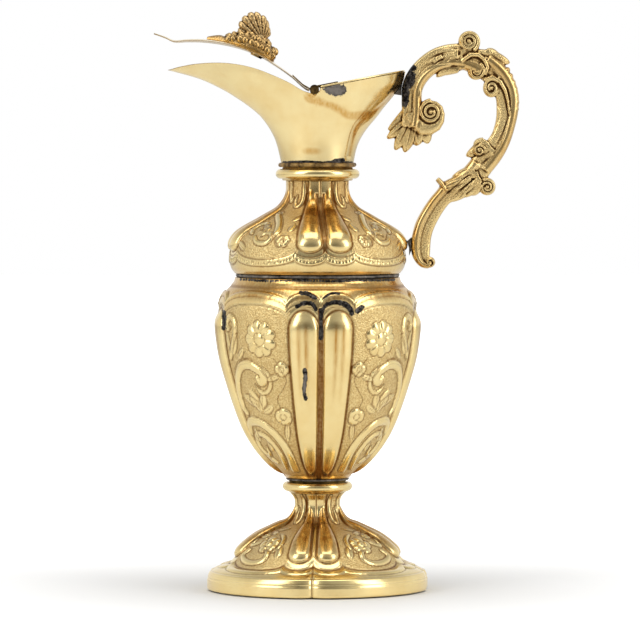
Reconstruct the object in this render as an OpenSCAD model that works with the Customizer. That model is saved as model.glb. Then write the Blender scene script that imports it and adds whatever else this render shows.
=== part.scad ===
/* [Sheet] */
// Thickness of the raised copper sheet of foot, body, shoulder and spout
sheet_t = 1; // [0.8:0.1:1.4]
// Thickness of the flat sheet of the lid and of the rear cover
plate_t = 0.8; // [0.6:0.1:1.2]

/* [Foot] */
// Largest radius of the foot, at its edge
foot_r = 55.5; // [50:0.5:60]
// Height of the upright band that the foot stands on
foot_band_h = 6; // [4:0.5:9]
// Height of the foot from the table to the top of its stem
foot_h = 48; // [42:1:56]
// Radius of the stem at its narrowest
stem_r = 11.6; // [10:0.2:13]
// Radius of the top of the stem, under the collar
stem_top_r = 13.6; // [12.2:0.2:15]
// How deep each of the four cusps cuts into the edge of the foot
foot_cusp_d = 2.4; // [1:0.2:4]
// How high the gadroons of the foot stand out of its panels
foot_gadroon_d = 2.6; // [1.6:0.2:3.2]
// How far the foot is turned on the axis
foot_turn = -3; // [-10:1:10]

/* [Stem collar] */
// Radius of the collar between foot and body
stem_collar_r = 17.5; // [16:0.5:20]
// Height of that collar
stem_collar_h = 6.5; // [5:0.5:9]
// Radius of the hole through that collar
stem_collar_bore_r = 8; // [5:0.5:10]
// Height of the solder seam between collar and body
base_seam_h = 1; // [0.6:0.1:2]

/* [Body] */
// Radius of the body at its widest, between the gadroons
body_r = 49.6; // [46:0.2:54]
// Height of the body
body_h = 100.5; // [90:1:112]
// Radius of the flat underside of the body
body_base_r = 15.7; // [14:0.1:17]
// How high the gadroons of the body stand out of its panels
body_gadroon_d = 2.4; // [1.6:0.2:3.2]
// How far the body is turned on the axis
body_turn = 2; // [-10:1:10]

/* [Shoulder seam] */
// Radius of body and shoulder where they are soldered together
seam_r = 41.3; // [39:0.1:43]
// Height of the solder between them
seam_h = 2; // [1:0.2:3]
// How far the solder stands in from the sheet
seam_inset = 0.4; // [0:0.1:0.6]

/* [Shoulder] */
// Radius of the shoulder at its widest, between the gadroons
shoulder_r = 43.9; // [43.2:0.1:46]
// Height of the shoulder, with the neck that it is drawn up into
shoulder_h = 46.3; // [40:0.1:54]
// Radius of that neck
neck_r = 15.8; // [14.4:0.1:17]
// How high the gadroons of the shoulder stand out of its panels
shoulder_gadroon_d = 2.2; // [1.6:0.2:3]
// How far the shoulder is turned on the axis
shoulder_turn = 5; // [-10:1:10]

/* [Neck collar] */
// Radius of the collar between neck and spout
neck_collar_r = 21; // [20:0.5:24]
// Height of that collar
neck_collar_h = 6.7; // [5:0.1:9]
// Height of the solder fillet on that collar
neck_fillet_h = 2.2; // [1.2:0.2:3.2]

/* [Raised work of the panels] */
// Width of the widest straps
strap_w = 4.4; // [3:0.2:5.6]
// How high the straps and flowers of the body stand out
body_relief_d = 1; // [0.4:0.1:1.4]
// Radius of the largest flowers of the body
body_flower_r = 9.2; // [7:0.2:10]
// How high the straps and flowers of the foot stand out
foot_relief_d = 0.7; // [0.4:0.1:1]
// Radius of the largest flowers of the foot
foot_flower_r = 6.2; // [5:0.2:7]

/* [Gadroons] */
// Half the angle that one pair of gadroons takes
gadroon_pair_half_angle = 18.6; // [16:0.2:22]
// Half the angle of the groove between the two of a pair
gadroon_groove_half_angle = 1.6; // [1:0.2:3]

/* [Spout] */
// Radius of the round foot of the spout
spout_base_r = 17.7; // [16.8:0.1:18.6]
// Length of the mouth from the axis to the tip of the lip
spout_reach = 75; // [65:1:85]
// Length of the mouth from the axis to its back
spout_back = 44; // [40:0.5:48]
// Half the width of the mouth, at the hinge
mouth_half_w = 30; // [27:0.5:33]
// Height of the hinge axis over the neck collar
hinge_rise = 38.5; // [34:0.5:44]
// Height of the crest of the lip over the hinge axis
lip_rise = 13.3; // [10:0.1:16]

/* [Rear cover] */
// Slope of the fixed cover over the back of the mouth
cover_tilt = 11.2; // [8:0.2:14]
// How far the cover stands out over the wall
cover_overhang = 0.5; // [0:0.1:1]

/* [Hinge] */
// Distance of the hinge axis from the axis of the jug, towards the lip
hinge_offset = 1.5; // [0:0.5:3]
// Outer radius of the rolled knuckles
knuckle_r = 2.3; // [2:0.1:2.8]
// Radius of the hinge pin
pin_r = 0.95; // [0.8:0.05:1.1]
// Radial running clearance of the pin
pin_clearance = 0.05; // [0.03:0.01:0.08]
// Thickness of the two leaves
leaf_t = 0.6; // [0.5:0.1:0.8]
// Length of the two leaves, from the hinge axis
leaf_l = 12; // [9:0.5:15]
// Gap between one knuckle and the next, and round the barrel
hinge_gap = 0.3; // [0.2:0.05:0.4]
// Thickness of the peened heads of the pin
pin_head_t = 0.6; // [0.4:0.1:1]
// Radius of those heads
pin_head_r = 1.5; // [1.3:0.1:1.9]

/* [Lid] */
// How far the lid reaches past the tip of the lip
lid_lip = 10.5; // [7:0.5:13]
// How far the lid stands out over the sides of the mouth
lid_overhang = 1; // [0.5:0.1:2]
// How far the middle of the lid is domed
lid_crown = 0.8; // [0.4:0.1:2]
// Angle that the lid stands open, from shut
lid_open_angle = 10.5; // [0:0.5:40]
// Gap between the shut lid and the lip
lid_gap = 0.4; // [0.3:0.05:0.6]

/* [Finial] */
// Distance of the finial's screw from the hinge axis, along the lid
finial_x = 31.5; // [28:0.5:36]
// Length of the cast base of the finial
finial_base_l = 35; // [30:0.5:40]
// Width of that base
finial_base_w = 20; // [17:0.5:25]
// Height of that base over the lid
finial_base_h = 8.6; // [7:0.2:10]
// How far the base lies towards the tip from its screw
finial_base_shift = 8.5; // [6:0.5:10]
// Radius of the shell, from its knob to its edge
shell_r = 16; // [13:0.5:18]
// Thickness of the shell at its ribs
shell_t = 4.6; // [3.6:0.2:6]
// Radius of the screw that holds the finial
screw_r = 1.5; // [1.2:0.1:1.8]
// Clearance of the screw in its holes
screw_clearance = 0.1; // [0.05:0.05:0.2]
// Thickness of the nut under the lid
nut_t = 0.8; // [0.6:0.1:1.4]
// Half the width of the nut across its corners
nut_r = 3; // [2.6:0.1:3.6]
// Thickness of the washer under the lid
washer_t = 0.3; // [0.2:0.1:0.6]
// Radius of that washer
washer_r = 4; // [3.6:0.1:5]

/* [Handle] */
// Reach of the handle from the jug to its outermost point
handle_reach = 56; // [50:1:64]
// Thickness of the handle, across the jug
handle_t = 10; // [8:0.5:12]
// Radius of the large volute inside the top of the handle
inner_volute_r = 7; // [6:0.5:8]
// Radius of the volute on the crest of the handle
crest_volute_r = 5.75; // [5:0.25:7]
// Radius of the two volutes under and behind the crest
back_volute_r = 4.4; // [3.6:0.2:5]
// Radius of the volute behind the foot of the upper scroll
tail_volute_r = 4.6; // [4:0.2:5.4]
// Radius of the small volutes
small_volute_r = 3.1; // [2.4:0.1:3.6]
// Gap between the handle and the vessel, filled with solder
handle_gap = 0.5; // [0.4:0.1:1]
// Width of that solder
handle_solder_w = 4.5; // [3:0.5:6]
// How far the top of the handle is tucked in under the rim
handle_tuck = 2.2; // [1.6:0.2:2.8]

/* [Hidden] */

gilt = "gold";
cast_gilt = "goldenrod";
solder_grey = "dimgray";
pin_metal = "saddlebrown";

fine_fn = 96;
small_fn = 32;
overrun = 1;
seat_gap = 0.1;
mound_foot_t = 0.6;

// Heights at which the pieces stand on each other
collar_z = foot_h;
base_seam_z = collar_z + stem_collar_h;
body_z = base_seam_z + base_seam_h;
seam_z = body_z + body_h;
shoulder_z = seam_z + seam_h;
neck_collar_z = shoulder_z + shoulder_h;
spout_z = neck_collar_z + neck_collar_h;
hinge_x = -hinge_offset;
hinge_z = spout_z + hinge_rise;

// Smooth value of a table of [place, value] rows, whose values are numbers or points
function row_of(table, p, i = 0) = i >= len(table) - 2 || p < table[i + 1][0] ? i : row_of(table, p, i + 1);
function slope_at(table, i) =
    let (a = max(i - 1, 0), b = min(i + 1, len(table) - 1))
    (table[b][1] - table[a][1]) / (table[b][0] - table[a][0]);
function smooth(table, p) =
    let (i = row_of(table, p), h = table[i + 1][0] - table[i][0], u = (p - table[i][0]) / h)
    (1 + 2 * u) * (1 - u) ^ 2 * table[i][1] + u * (1 - u) ^ 2 * h * slope_at(table, i)
    + u ^ 2 * (3 - 2 * u) * table[i + 1][1] + u ^ 2 * (u - 1) * h * slope_at(table, i + 1);
function numbered(list) = [for (i = [0:len(list) - 1]) [i, list[i]]];
function mix(a, b, share) = a + (b - a) * share;

// Faces of a skin over closed loops of points, which run anticlockwise seen from the last loop
function band_faces(count, n, wrap) = [
    for (i = [0:count - (wrap ? 1 : 2)], j = [0:n - 1])
        let (k = (i + 1) % count, m = (j + 1) % n, a = i * n + j, b = i * n + m, c = k * n + m, d = k * n + j)
        each [[a, d, c], [a, c, b]]];

// A skin whose last loop joins its first, such as the two sides of a sheet
module ring_skin(loops) {
    n = len(loops[0]);
    polyhedron([for (l = loops) each l], band_faces(len(loops), n, true), convexity = 10);
}

// A skin closed by a flat face at each end
module capped_skin(loops) {
    n = len(loops[0]);
    last = (len(loops) - 1) * n;
    polyhedron([for (l = loops) each l],
        [each band_faces(len(loops), n, false), [for (j = [0:n - 1]) j], [for (j = [n - 1:-1:0]) last + j]],
        convexity = 10);
}

// Angles of the columns of an embossed shell: close together over the gadroons, wide over the panels
eighth = 45;
gadroon_column_shares = [0, 0.16, 0.5, 0.84];
panel_column_shares = [0, 0.15, 0.5];
eighth_angles = [0,
    for (s = gadroon_column_shares) mix(gadroon_groove_half_angle, gadroon_pair_half_angle, s),
    for (s = panel_column_shares) mix(gadroon_pair_half_angle, eighth, s)];
column_angles = [for (q = [0:3]) each [
    for (a = eighth_angles) q * 2 * eighth + a,
    (2 * q + 1) * eighth,
    for (i = [len(eighth_angles) - 1:-1:1]) (q + 1) * 2 * eighth - eighth_angles[i]]];

// Angle from the nearest of the four pairs of gadroons
function off_pair(a) = abs(((a + eighth) % (2 * eighth) + 2 * eighth) % (2 * eighth) - eighth);
// Rise of a pair of gadroons round the axis, from 0 in the groove to 1 on the back of each
function gadroon_rise(a) =
    let (pair = gadroon_pair_half_angle - gadroon_groove_half_angle,
        t = (off_pair(a) - gadroon_groove_half_angle) / pair)
    t <= 0 || t >= 1 ? 0 : sqrt(1 - (2 * t - 1) ^ 2);

// A raised and embossed shell. The outline holds [radius, height, share of the full gadroon] from the
// bottom up, cusp holds the depth of the cusps at its first point, and the wall is measured inwards.
function out_normal(outline, p) =
    let (d = 0.05, a = smooth(outline, max(p - d, 0)), b = smooth(outline, min(p + d, len(outline) - 1)),
        t = [b[0] - a[0], b[1] - a[1]])
    [t[1], -t[0]] / norm(t);
function cusp_share(a, width) = off_pair(a) >= width ? 0 : (1 - off_pair(a) / width) ^ 2;
function shell_loop(outline, p, gadroon_d, inset, level, cusp_d, cusp_width) = [
    for (a = column_angles)
        let (o = smooth(outline, p), n = level ? [1, 0] : out_normal(outline, p),
            lift = max(o[2], 0) * gadroon_d * gadroon_rise(a) - inset,
            fade = (1 - p / (len(outline) - 1)) ^ 6,
            r = o[0] + n[0] * lift - cusp_d * cusp_share(a, cusp_width) * fade,
            z = o[1] + n[1] * lift)
        [r * cos(a), r * sin(a), z]];
function outer_rows(outline) = [for (i = [0:len(outline) - 1]) i];
function inner_rows(outline) = [for (i = [len(outline) - 1:-1:0]) i];

module embossed_shell(outline, gadroon_d, wall, floor_t = 0, cusp_d = 0, cusp_width = 1) {
    table = numbered(outline);
    last = len(outline) - 1;
    outer = [for (p = outer_rows(outline))
        shell_loop(table, p, gadroon_d, 0, p == 0 || p == last, cusp_d, cusp_width)];
    inner = [for (p = inner_rows(outline))
        if (floor_t == 0 || outline[p][1] > outline[0][1] + 2 * floor_t)
            shell_loop(table, p, 0, wall, p == 0 || p == last, cusp_d, cusp_width)];
    if (floor_t == 0)
        ring_skin([each outer, each inner]);
    else
        capped_skin([each outer, each inner,
            let (floor_r = outline[0][0] - wall) [for (a = column_angles)
                [floor_r * cos(a), floor_r * sin(a), outline[0][1] + floor_t]]]);
}

// Raised work: straps and flowers that stand out of the panels of a shell. A place on the shell is a share
// of the way round from the front pair of gadroons to the side pair, and a share of the way up its rows.
relief_root_share = 0.8;
strap_top_share = 0.45;
function shell_place(table, round_share, up_share, lift) =
    let (p = up_share * (len(table) - 1), a = round_share * 2 * eighth, o = smooth(table, p),
        n = out_normal(table, p), r = o[0] + n[0] * lift)
    [r * sin(a), r * cos(a), o[1] + n[1] * lift];

// A strap along places of [share round, share up, share of the strap's width], of four edges
module strap(outline, shares, rise) {
    table = numbered(outline);
    root = relief_root_share * sheet_t;
    last = len(shares) - 1;
    capped_skin([for (i = [0:last])
        let (s = shares[i], a = shares[max(i - 1, 0)], b = shares[min(i + 1, last)],
            along = shell_place(table, b[0], b[1], 0) - shell_place(table, a[0], a[1], 0),
            low = shell_place(table, s[0], s[1], -root), high = shell_place(table, s[0], s[1], rise),
            side = cross(high - low, along) / norm(cross(high - low, along)) * s[2] * strap_w / 2)
        [low + side, high + side * strap_top_share, high - side * strap_top_share, low - side]]);
}

// A flower of eight petals with a raised middle, bent round the axis as the shell is
petal_count = 8;
petal_notch_share = 0.84;
flower_loop_shares = [[1, -relief_root_share], [0.8, 1], [0.45, 0.5], [0.26, 1.1]];
module flower(outline, round_share, up_share, r, rise) {
    table = numbered(outline);
    o = smooth(table, up_share * (len(table) - 1));
    low = shell_place(table, round_share, up_share, 0);
    n = shell_place(table, round_share, up_share, rise) - low;
    out = n / norm(n);
    east = [cos(round_share * 2 * eighth), -sin(round_share * 2 * eighth), 0];
    north = cross(east, out);
    capped_skin([for (l = flower_loop_shares) [for (i = [0:2 * petal_count - 1])
        let (a = 180 * i / petal_count, reach = r * l[0] * (i % 2 == 0 ? 1 : petal_notch_share),
            e = reach * sin(a), fall = e * e / (2 * o[0]) * norm([out[0], out[1]]),
            lift = l[1] < 0 ? l[1] * sheet_t : l[1] * rise)
        low + reach * cos(a) * north + e * east + (lift - fall) * out]]);
}

// Raised work of one quarter, repeated over the four panels
module on_four_panels()
    for (x = [0, 1], y = [0, 1])
        mirror([x, 0, 0]) mirror([0, y, 0]) children();

module raised_work(outline, straps, flowers, flower_r, rise)
    on_four_panels() {
        for (s = straps) strap(outline, s, rise);
        for (f = flowers) flower(outline, f[0], f[1], flower_r * f[2], rise);
    }

// Foot: rows of radius share from stem to edge, height share over the band, and gadroon share
foot_shares = [[1, 0, 0], [0.97, 0.06, 0], [0.885, 0.112, 0], [0.79, 0.142, 0], [0.715, 0.2, 0.8],
    [0.62, 0.315, 1], [0.45, 0.458, 1], [0.25, 0.562, 0.9], [0.08, 0.65, 0.6], [0.008, 0.775, 0.4],
    [0, 0.915, 0.2]];
foot_cusp_width = 9;
foot_outline = [
    for (s = foot_shares) [mix(stem_r, foot_r, s[0]), mix(foot_band_h, foot_h, s[1]), s[2]],
    [stem_top_r, foot_h, 0]];

// Straps of the foot: the roll round its edge and two scrolls
foot_strap_shares = [
    [[-0.012, 0.318, 1], [0.056, 0.256, 1], [0.111, 0.245, 1], [0.167, 0.256, 1], [0.222, 0.318, 1],
        [0.289, 0.255, 1], [0.389, 0.226, 1], [0.5, 0.217, 1], [0.611, 0.226, 1], [0.711, 0.255, 1],
        [0.778, 0.318, 1], [0.833, 0.256, 1], [0.889, 0.245, 1], [0.944, 0.256, 1], [1.012, 0.318, 1]],
    [[0.667, 0.478, 0.31], [0.711, 0.433, 0.61], [0.622, 0.39, 0.68], [0.5, 0.381, 0.68], [0.417, 0.42, 0.61],
        [0.422, 0.468, 0.31]],
    [[0.333, 0.478, 0.23], [0.322, 0.515, 0.5], [0.344, 0.561, 0.5], [0.4, 0.592, 0.5],
        [0.467, 0.606, 0.23]]];
// Flowers as [share round, share up, share of the largest radius]
foot_flower_shares = [[0.478, 0.524, 1]];

module foot_dome()
    color(gilt) rotate(foot_turn) {
        embossed_shell(foot_outline, foot_gadroon_d, sheet_t, 0, foot_cusp_d, foot_cusp_width);
        raised_work(foot_outline, foot_strap_shares, foot_flower_shares, foot_flower_r, foot_relief_d);
    }

// Outline of the foot's edge, drawn in by the wall
function foot_edge(inset) = [
    for (a = column_angles)
        (foot_r - inset - foot_cusp_d * cusp_share(a, foot_cusp_width)) * [cos(a), sin(a)]];

module foot_band()
    color(gilt) rotate(foot_turn)
        linear_extrude(foot_band_h)
            difference() {
                polygon(foot_edge(0));
                polygon(foot_edge(sheet_t));
            }

// A turned collar, whose rim is a half round between two flat faces
module collar(z, h, rim_r, hole_r, bead_share) {
    bead_r = h * bead_share / 2;
    face_r = rim_r - collar_step_share * bead_r;
    color(gilt) rotate_extrude($fn = fine_fn)
        difference() {
            union() {
                translate([hole_r, z]) square([face_r - hole_r, h]);
                translate([rim_r - bead_r, z + h / 2]) circle(bead_r, $fn = small_fn);
                translate([face_r - bead_r, z + h / 2 - bead_r])
                    square([collar_step_share * bead_r, 2 * bead_r]);
            }
            translate([0, z]) square([hole_r, h]);
        }
}

collar_bead_share = 0.72;
collar_step_share = 1.4;

module stem_collar()
    collar(collar_z, stem_collar_h, stem_collar_r, stem_collar_bore_r, collar_bead_share);

// Solder bead between collar and body, flush with the body's underside
module base_solder()
    color(solder_grey) translate([0, 0, base_seam_z])
        cylinder(base_seam_h, r = body_base_r, $fn = fine_fn);

// Body: lower rows run out from the underside to the belly, upper rows in from the belly to the seam
body_lower_shares = [[0, 0, 0], [0.145, 0.045, 0.5], [0.325, 0.105, 0.6], [0.495, 0.184, 0.7],
    [0.643, 0.284, 0.8], [0.82, 0.463, 0.95], [0.935, 0.6, 1], [0.99, 0.72, 1], [1, 0.79, 0.85]];
body_upper_shares = [[0.97, 0.845, 0], [0.79, 0.902, 0], [0.42, 0.947, 0], [0.09, 0.978, 0], [0, 1, 0]];
body_outline = [
    for (s = body_lower_shares) [mix(body_base_r, body_r, s[0]), mix(body_z, seam_z, s[1]), s[2]],
    for (s = body_upper_shares) [mix(seam_r, body_r, s[0]), mix(body_z, seam_z, s[1]), s[2]]];

// Straps of the body: the arched bead under the seam, four scrolls and three blades of a leaf
body_strap_shares = [
    [[-0.012, 0.728, 0.68], [0.056, 0.791, 0.68], [0.111, 0.802, 0.68], [0.167, 0.791, 0.68],
        [0.222, 0.728, 0.68], [0.289, 0.779, 0.68], [0.389, 0.803, 0.68], [0.5, 0.811, 0.68],
        [0.611, 0.803, 0.68], [0.711, 0.779, 0.68], [0.778, 0.728, 0.68], [0.833, 0.791, 0.68],
        [0.889, 0.802, 0.68], [0.944, 0.791, 0.68],
        [1.012, 0.728, 0.68]],
    [[0.478, 0.413, 0.45], [0.456, 0.4, 0.65], [0.428, 0.405, 0.85], [0.428, 0.423, 1], [0.467, 0.436, 1],
        [0.533, 0.448, 1], [0.611, 0.443, 1], [0.678, 0.421, 1], [0.728, 0.39, 1], [0.75, 0.363, 0.85],
        [0.739, 0.342, 0.65], [0.7, 0.33, 0.45]],
    [[0.367, 0.09, 0.45], [0.344, 0.16, 0.76], [0.367, 0.223, 1], [0.433, 0.275, 1], [0.533, 0.306, 1],
        [0.644, 0.313, 1], [0.733, 0.306, 0.76], [0.778, 0.275, 0.45]],
    [[0.511, 0.09, 0.31], [0.467, 0.143, 0.5], [0.467, 0.2, 0.68], [0.522, 0.249, 0.68], [0.611, 0.272, 0.68],
        [0.7, 0.261, 0.68], [0.733, 0.215, 0.68], [0.689, 0.176, 0.5], [0.622, 0.184, 0.31]],
    [[0.733, 0.464, 0.35], [0.7, 0.493, 0.63], [0.661, 0.525, 0.77], [0.639, 0.568, 0.77],
        [0.656, 0.623, 0.77], [0.7, 0.644, 0.63], [0.739, 0.611, 0.35]],
    [[0.5, 0.336, 0.33], [0.539, 0.354, 0.95], [0.573, 0.369, 0.72], [0.598, 0.381, 0.12]],
    [[0.511, 0.348, 0.29], [0.579, 0.355, 0.82], [0.639, 0.362, 0.61], [0.681, 0.367, 0.12]],
    [[0.489, 0.34, 0.27], [0.474, 0.353, 0.77], [0.461, 0.365, 0.58], [0.452, 0.373, 0.12]]];
body_flower_shares = [[0.417, 0.528, 1], [0.272, 0.438, 0.46], [0.306, 0.326, 0.5]];

module body()
    color(gilt) rotate(body_turn) {
        embossed_shell(body_outline, body_gadroon_d, sheet_t, sheet_t);
        raised_work(body_outline, body_strap_shares, body_flower_shares, body_flower_r, body_relief_d);
    }

module shoulder_solder()
    color(solder_grey) translate([0, 0, seam_z])
        difference() {
            cylinder(seam_h, r = seam_r - seam_inset, $fn = fine_fn);
            translate([0, 0, -overrun])
                cylinder(seam_h + 2 * overrun, r = seam_r - 2 * sheet_t, $fn = fine_fn);
        }

// Shoulder: lower rows bulge out from the seam, upper rows draw in to the neck
shoulder_lower_shares = [[0, 0, 0], [0.65, 0.05, 0], [1, 0.115, 0.2]];
shoulder_upper_shares = [[1, 0.19, 0.85], [0.985, 0.27, 1], [0.95, 0.345, 1], [0.86, 0.417, 1],
    [0.7, 0.482, 1], [0.5, 0.548, 0.9], [0.33, 0.61, 0.8], [0.14, 0.69, 0.65], [0.03, 0.79, 0.5],
    [0, 0.9, 0.2], [0, 1, 0]];
function shoulder_row(s, low_r) =
    [mix(low_r, shoulder_r, s[0]), mix(shoulder_z, neck_collar_z, s[1]), s[2]];
shoulder_outline = [
    for (s = shoulder_lower_shares) shoulder_row(s, seam_r),
    for (s = shoulder_upper_shares) shoulder_row(s, neck_r)];

module shoulder()
    color(gilt) rotate(shoulder_turn)
        embossed_shell(shoulder_outline, shoulder_gadroon_d, sheet_t);

module neck_collar()
    collar(neck_collar_z, neck_collar_h, neck_collar_r, neck_r - sheet_t, collar_bead_share);

neck_fillet_w = neck_collar_r - spout_base_r;
neck_fillet_share = 0.5;
neck_fillet_lean_share = 0.15;

module neck_solder()
    color(solder_grey) rotate_extrude($fn = fine_fn)
        translate([spout_base_r + seat_gap, spout_z])
            polygon([[0, 0], [neck_fillet_w * neck_fillet_share, 0],
                [neck_fillet_w * neck_fillet_lean_share, neck_fillet_h]]);

// Spout: a round foot that flares into a long lip in front and a short back. The flare is the share of
// its way out that the wall has gone at a share of its height.
front_flare_shares = [[0, 0], [0.25, 0.05], [0.39, 0.103], [0.52, 0.183], [0.62, 0.283], [0.705, 0.385],
    [0.81, 0.535], [0.913, 0.735], [1, 1]];
back_flare_shares = [[0, 0], [0.14, 0.046], [0.24, 0.096], [0.32, 0.167], [0.426, 0.296], [0.52, 0.435],
    [0.638, 0.6], [0.727, 0.735], [0.824, 0.88], [0.889, 0.95], [1, 1]];
spout_level_shares = [0, 0.13, 0.25, 0.36, 0.46, 0.55, 0.64, 0.72, 0.8, 0.87, 0.94, 1];
// Height of the lip's edge over the hinge axis, as a share of its rise, along its length from the hinge
lip_shares = [[0, -0.15], [0.07, -0.06], [0.17, 0.26], [0.29, 0.56], [0.4, 0.79], [0.52, 0.94], [0.65, 1],
    [0.8, 0.96], [0.91, 0.86], [1, 0.75], [1.06, 0.83], [1.14, 0.91], [1.3, 1.03]];
front_point_power = 1.35;
back_point_power = 1.2;
cover_seat = 0.3;
lip_length = spout_reach - hinge_offset;
back_length = spout_back + hinge_offset;
notch_r = knuckle_r + hinge_gap;

function lip_z(x) = hinge_z + lip_rise * smooth(lip_shares, (hinge_x - x) / lip_length);
function back_z(x) = hinge_z + cover_seat + tan(cover_tilt) * (x - hinge_x);
function rim_z(x) = x < hinge_x ? lip_z(x) : back_z(x);

// Plan of the mouth at an angle from its back: a long pointed oval, widest at the hinge
function mouth_plan(a, front_l, back_l, half_w) = [
    hinge_x + (cos(a) < 0 ? front_l : back_l) * cos(a),
    half_w * sign(sin(a)) * abs(sin(a)) ^ (cos(a) < 0 ? front_point_power : back_point_power)];
function spout_point(a, v) =
    let (foot = spout_base_r * [cos(a), sin(a)],
        rim = mouth_plan(a, lip_length, back_length, mouth_half_w),
        front = (1 - cos(a)) / 2,
        flare = mix(smooth(back_flare_shares, v), smooth(front_flare_shares, v), front),
        plan = mix(foot, rim, flare))
    [plan[0], plan[1], mix(spout_z, rim_z(rim[0]), v)];
function spout_inner_point(a, v) =
    let (da = 2, dv = 0.01, lo = max(v - dv, 0), hi = min(v + dv, 1), p = spout_point(a, v),
        n = cross(spout_point(a + da, v) - spout_point(a - da, v),
            spout_point(a, hi) - spout_point(a, lo)),
        out = v == 0 ? [cos(a), sin(a), 0] : n / norm(n), q = p - sheet_t * out)
    v == 1 ? [q[0], q[1], (p[0] < hinge_x ? lip_z(q[0]) : back_z(q[0]))] : q;

back_column_angles = [0, 9, 18, 27, 36, 45, 54, 63, 72, 80];
front_column_angles = [97, 104, 112, 120, 128, 136, 144, 152, 160, 167, 173.5];
half_columns = [each back_column_angles, acos(notch_r / back_length), acos(-notch_r / lip_length),
    each front_column_angles];
spout_columns = [each half_columns, 180, for (i = [len(half_columns) - 1:-1:1]) 360 - half_columns[i]];

module spout_sheet() {
    outer = [for (v = spout_level_shares) [for (a = spout_columns) spout_point(a, v)]];
    inner = [for (i = [len(spout_level_shares) - 1:-1:0])
        [for (a = spout_columns) spout_inner_point(a, spout_level_shares[i])]];
    ring_skin([each outer, each inner]);
}

module along_hinge(l, r)
    translate([hinge_x, 0, hinge_z]) rotate([90, 0, 0]) cylinder(l, r = r, center = true, $fn = small_fn);

module spout()
    color(gilt) difference() {
        spout_sheet();
        along_hinge(2 * (mouth_half_w + overrun), notch_r);
    }

// Rear cover: a flat plate on the sloping rim behind the hinge
module on_back_slope()
    translate([hinge_x, 0, hinge_z + cover_seat]) rotate([0, -cover_tilt, 0]) children();

cover_angles = [for (a = [-84:7:84]) a];

module rear_cover()
    color(gilt) on_back_slope() linear_extrude(plate_t)
        intersection() {
            polygon([for (a = cover_angles)
                let (p = mouth_plan(a, lip_length, back_length + cover_overhang,
                    mouth_half_w + cover_overhang))
                [(p[0] - hinge_x) / cos(cover_tilt), p[1]]]);
            translate([notch_r, -mouth_half_w - overrun])
                square([back_length + 2 * overrun, 2 * (mouth_half_w + overrun)]);
        }

// Hinge: five knuckles on one pin, three fixed and two that turn with the lid
knuckle_count = 5;
barrel_l = 2 * mouth_half_w;
knuckle_pitch = barrel_l / knuckle_count;
knuckle_l = knuckle_pitch - hinge_gap;
function knuckle_y(i) = (i + 0.5) * knuckle_pitch - barrel_l / 2;

module knuckles(first) {
    for (i = [first:2:knuckle_count - 1])
        translate([0, knuckle_y(i), 0]) rotate([90, 0, 0])
            cylinder(knuckle_l, r = knuckle_r, center = true, $fn = small_fn);
}

module pin_bore()
    rotate([90, 0, 0])
        cylinder(barrel_l + 2 * overrun, r = pin_r + pin_clearance, center = true, $fn = small_fn);

tongue_start_share = 0.62;
tongue_start = knuckle_r * tongue_start_share;

module hinge_fixed_leaf()
    color(cast_gilt) difference() {
        union() {
            translate([hinge_x, 0, hinge_z]) knuckles(0);
            on_back_slope() {
                for (i = [0:2:knuckle_count - 1])
                    translate([0, knuckle_y(i) - knuckle_l / 2, plate_t])
                        cube([notch_r + hinge_gap, knuckle_l, leaf_t]);
                translate([notch_r, -mouth_half_w + knuckle_r, plate_t])
                    cube([leaf_l - notch_r, 2 * (mouth_half_w - knuckle_r), leaf_t]);
            }
        }
        translate([hinge_x, 0, hinge_z]) pin_bore();
    }

module hinge_pin()
    color(pin_metal) translate([hinge_x, 0, hinge_z]) rotate([90, 0, 0]) {
        cylinder(barrel_l + 2 * pin_clearance, r = pin_r, center = true, $fn = small_fn);
        for (side = [-1, 1])
            translate([0, 0, side * (barrel_l / 2 + pin_clearance + pin_head_t / 2)])
                cylinder(pin_head_t, r = pin_head_r, center = true, $fn = small_fn);
    }

// Everything on the lid is drawn shut, and then turned open about the hinge
module opened()
    translate([hinge_x, 0, hinge_z]) rotate([0, lid_open_angle, 0])
        translate([-hinge_x, 0, -hinge_z]) children();

lid_length = lip_length + lid_lip;
lid_half_w = mouth_half_w + lid_overhang;
lid_row_shares = [0, 0.045, 0.1, 0.165, 0.23, 0.3, 0.37, 0.44, 0.51, 0.58, 0.65, 0.72, 0.79, 0.855, 0.91,
    0.95, 0.98, 0.995];
lid_across_shares = [-1, -0.85, -0.6, -0.3, 0, 0.3, 0.6, 0.85, 1];
function lid_half_at(x) =
    let (c = min((hinge_x - x) / lid_length, 1)) lid_half_w * (1 - c ^ 2) ^ (front_point_power / 2);
// Share of the dome that the lid has along its length, from the hinge to the tip
lid_crown_shares = [[0, 0], [0.15, 0.45], [0.35, 1], [0.75, 1], [0.9, 0.6], [1, 0.1]];
function lid_under(x, y) =
    lip_z(x) + lid_gap + lid_crown * smooth(lid_crown_shares, (hinge_x - x) / lid_length)
    * (1 - (y / lid_half_at(x)) ^ 2);
function lid_top(x, y) = lid_under(x, y) + plate_t;
function lid_x(share) = hinge_x - mix(notch_r, lid_length, share);

// A sheet that follows the top of the lid, between two heights over it
module sheet_on_lid(rows, across, low, high) {
    n = len(across);
    loops = [for (x = rows) [
        for (j = [n - 1:-1:0]) let (y = across[j] * lid_half_at(x)) [x, y, lid_top(x, y) + high],
        for (j = [0:n - 1]) let (y = across[j] * lid_half_at(x)) [x, y, lid_top(x, y) + low]]];
    capped_skin([for (i = [len(loops) - 1:-1:0]) loops[i]]);
}

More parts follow.
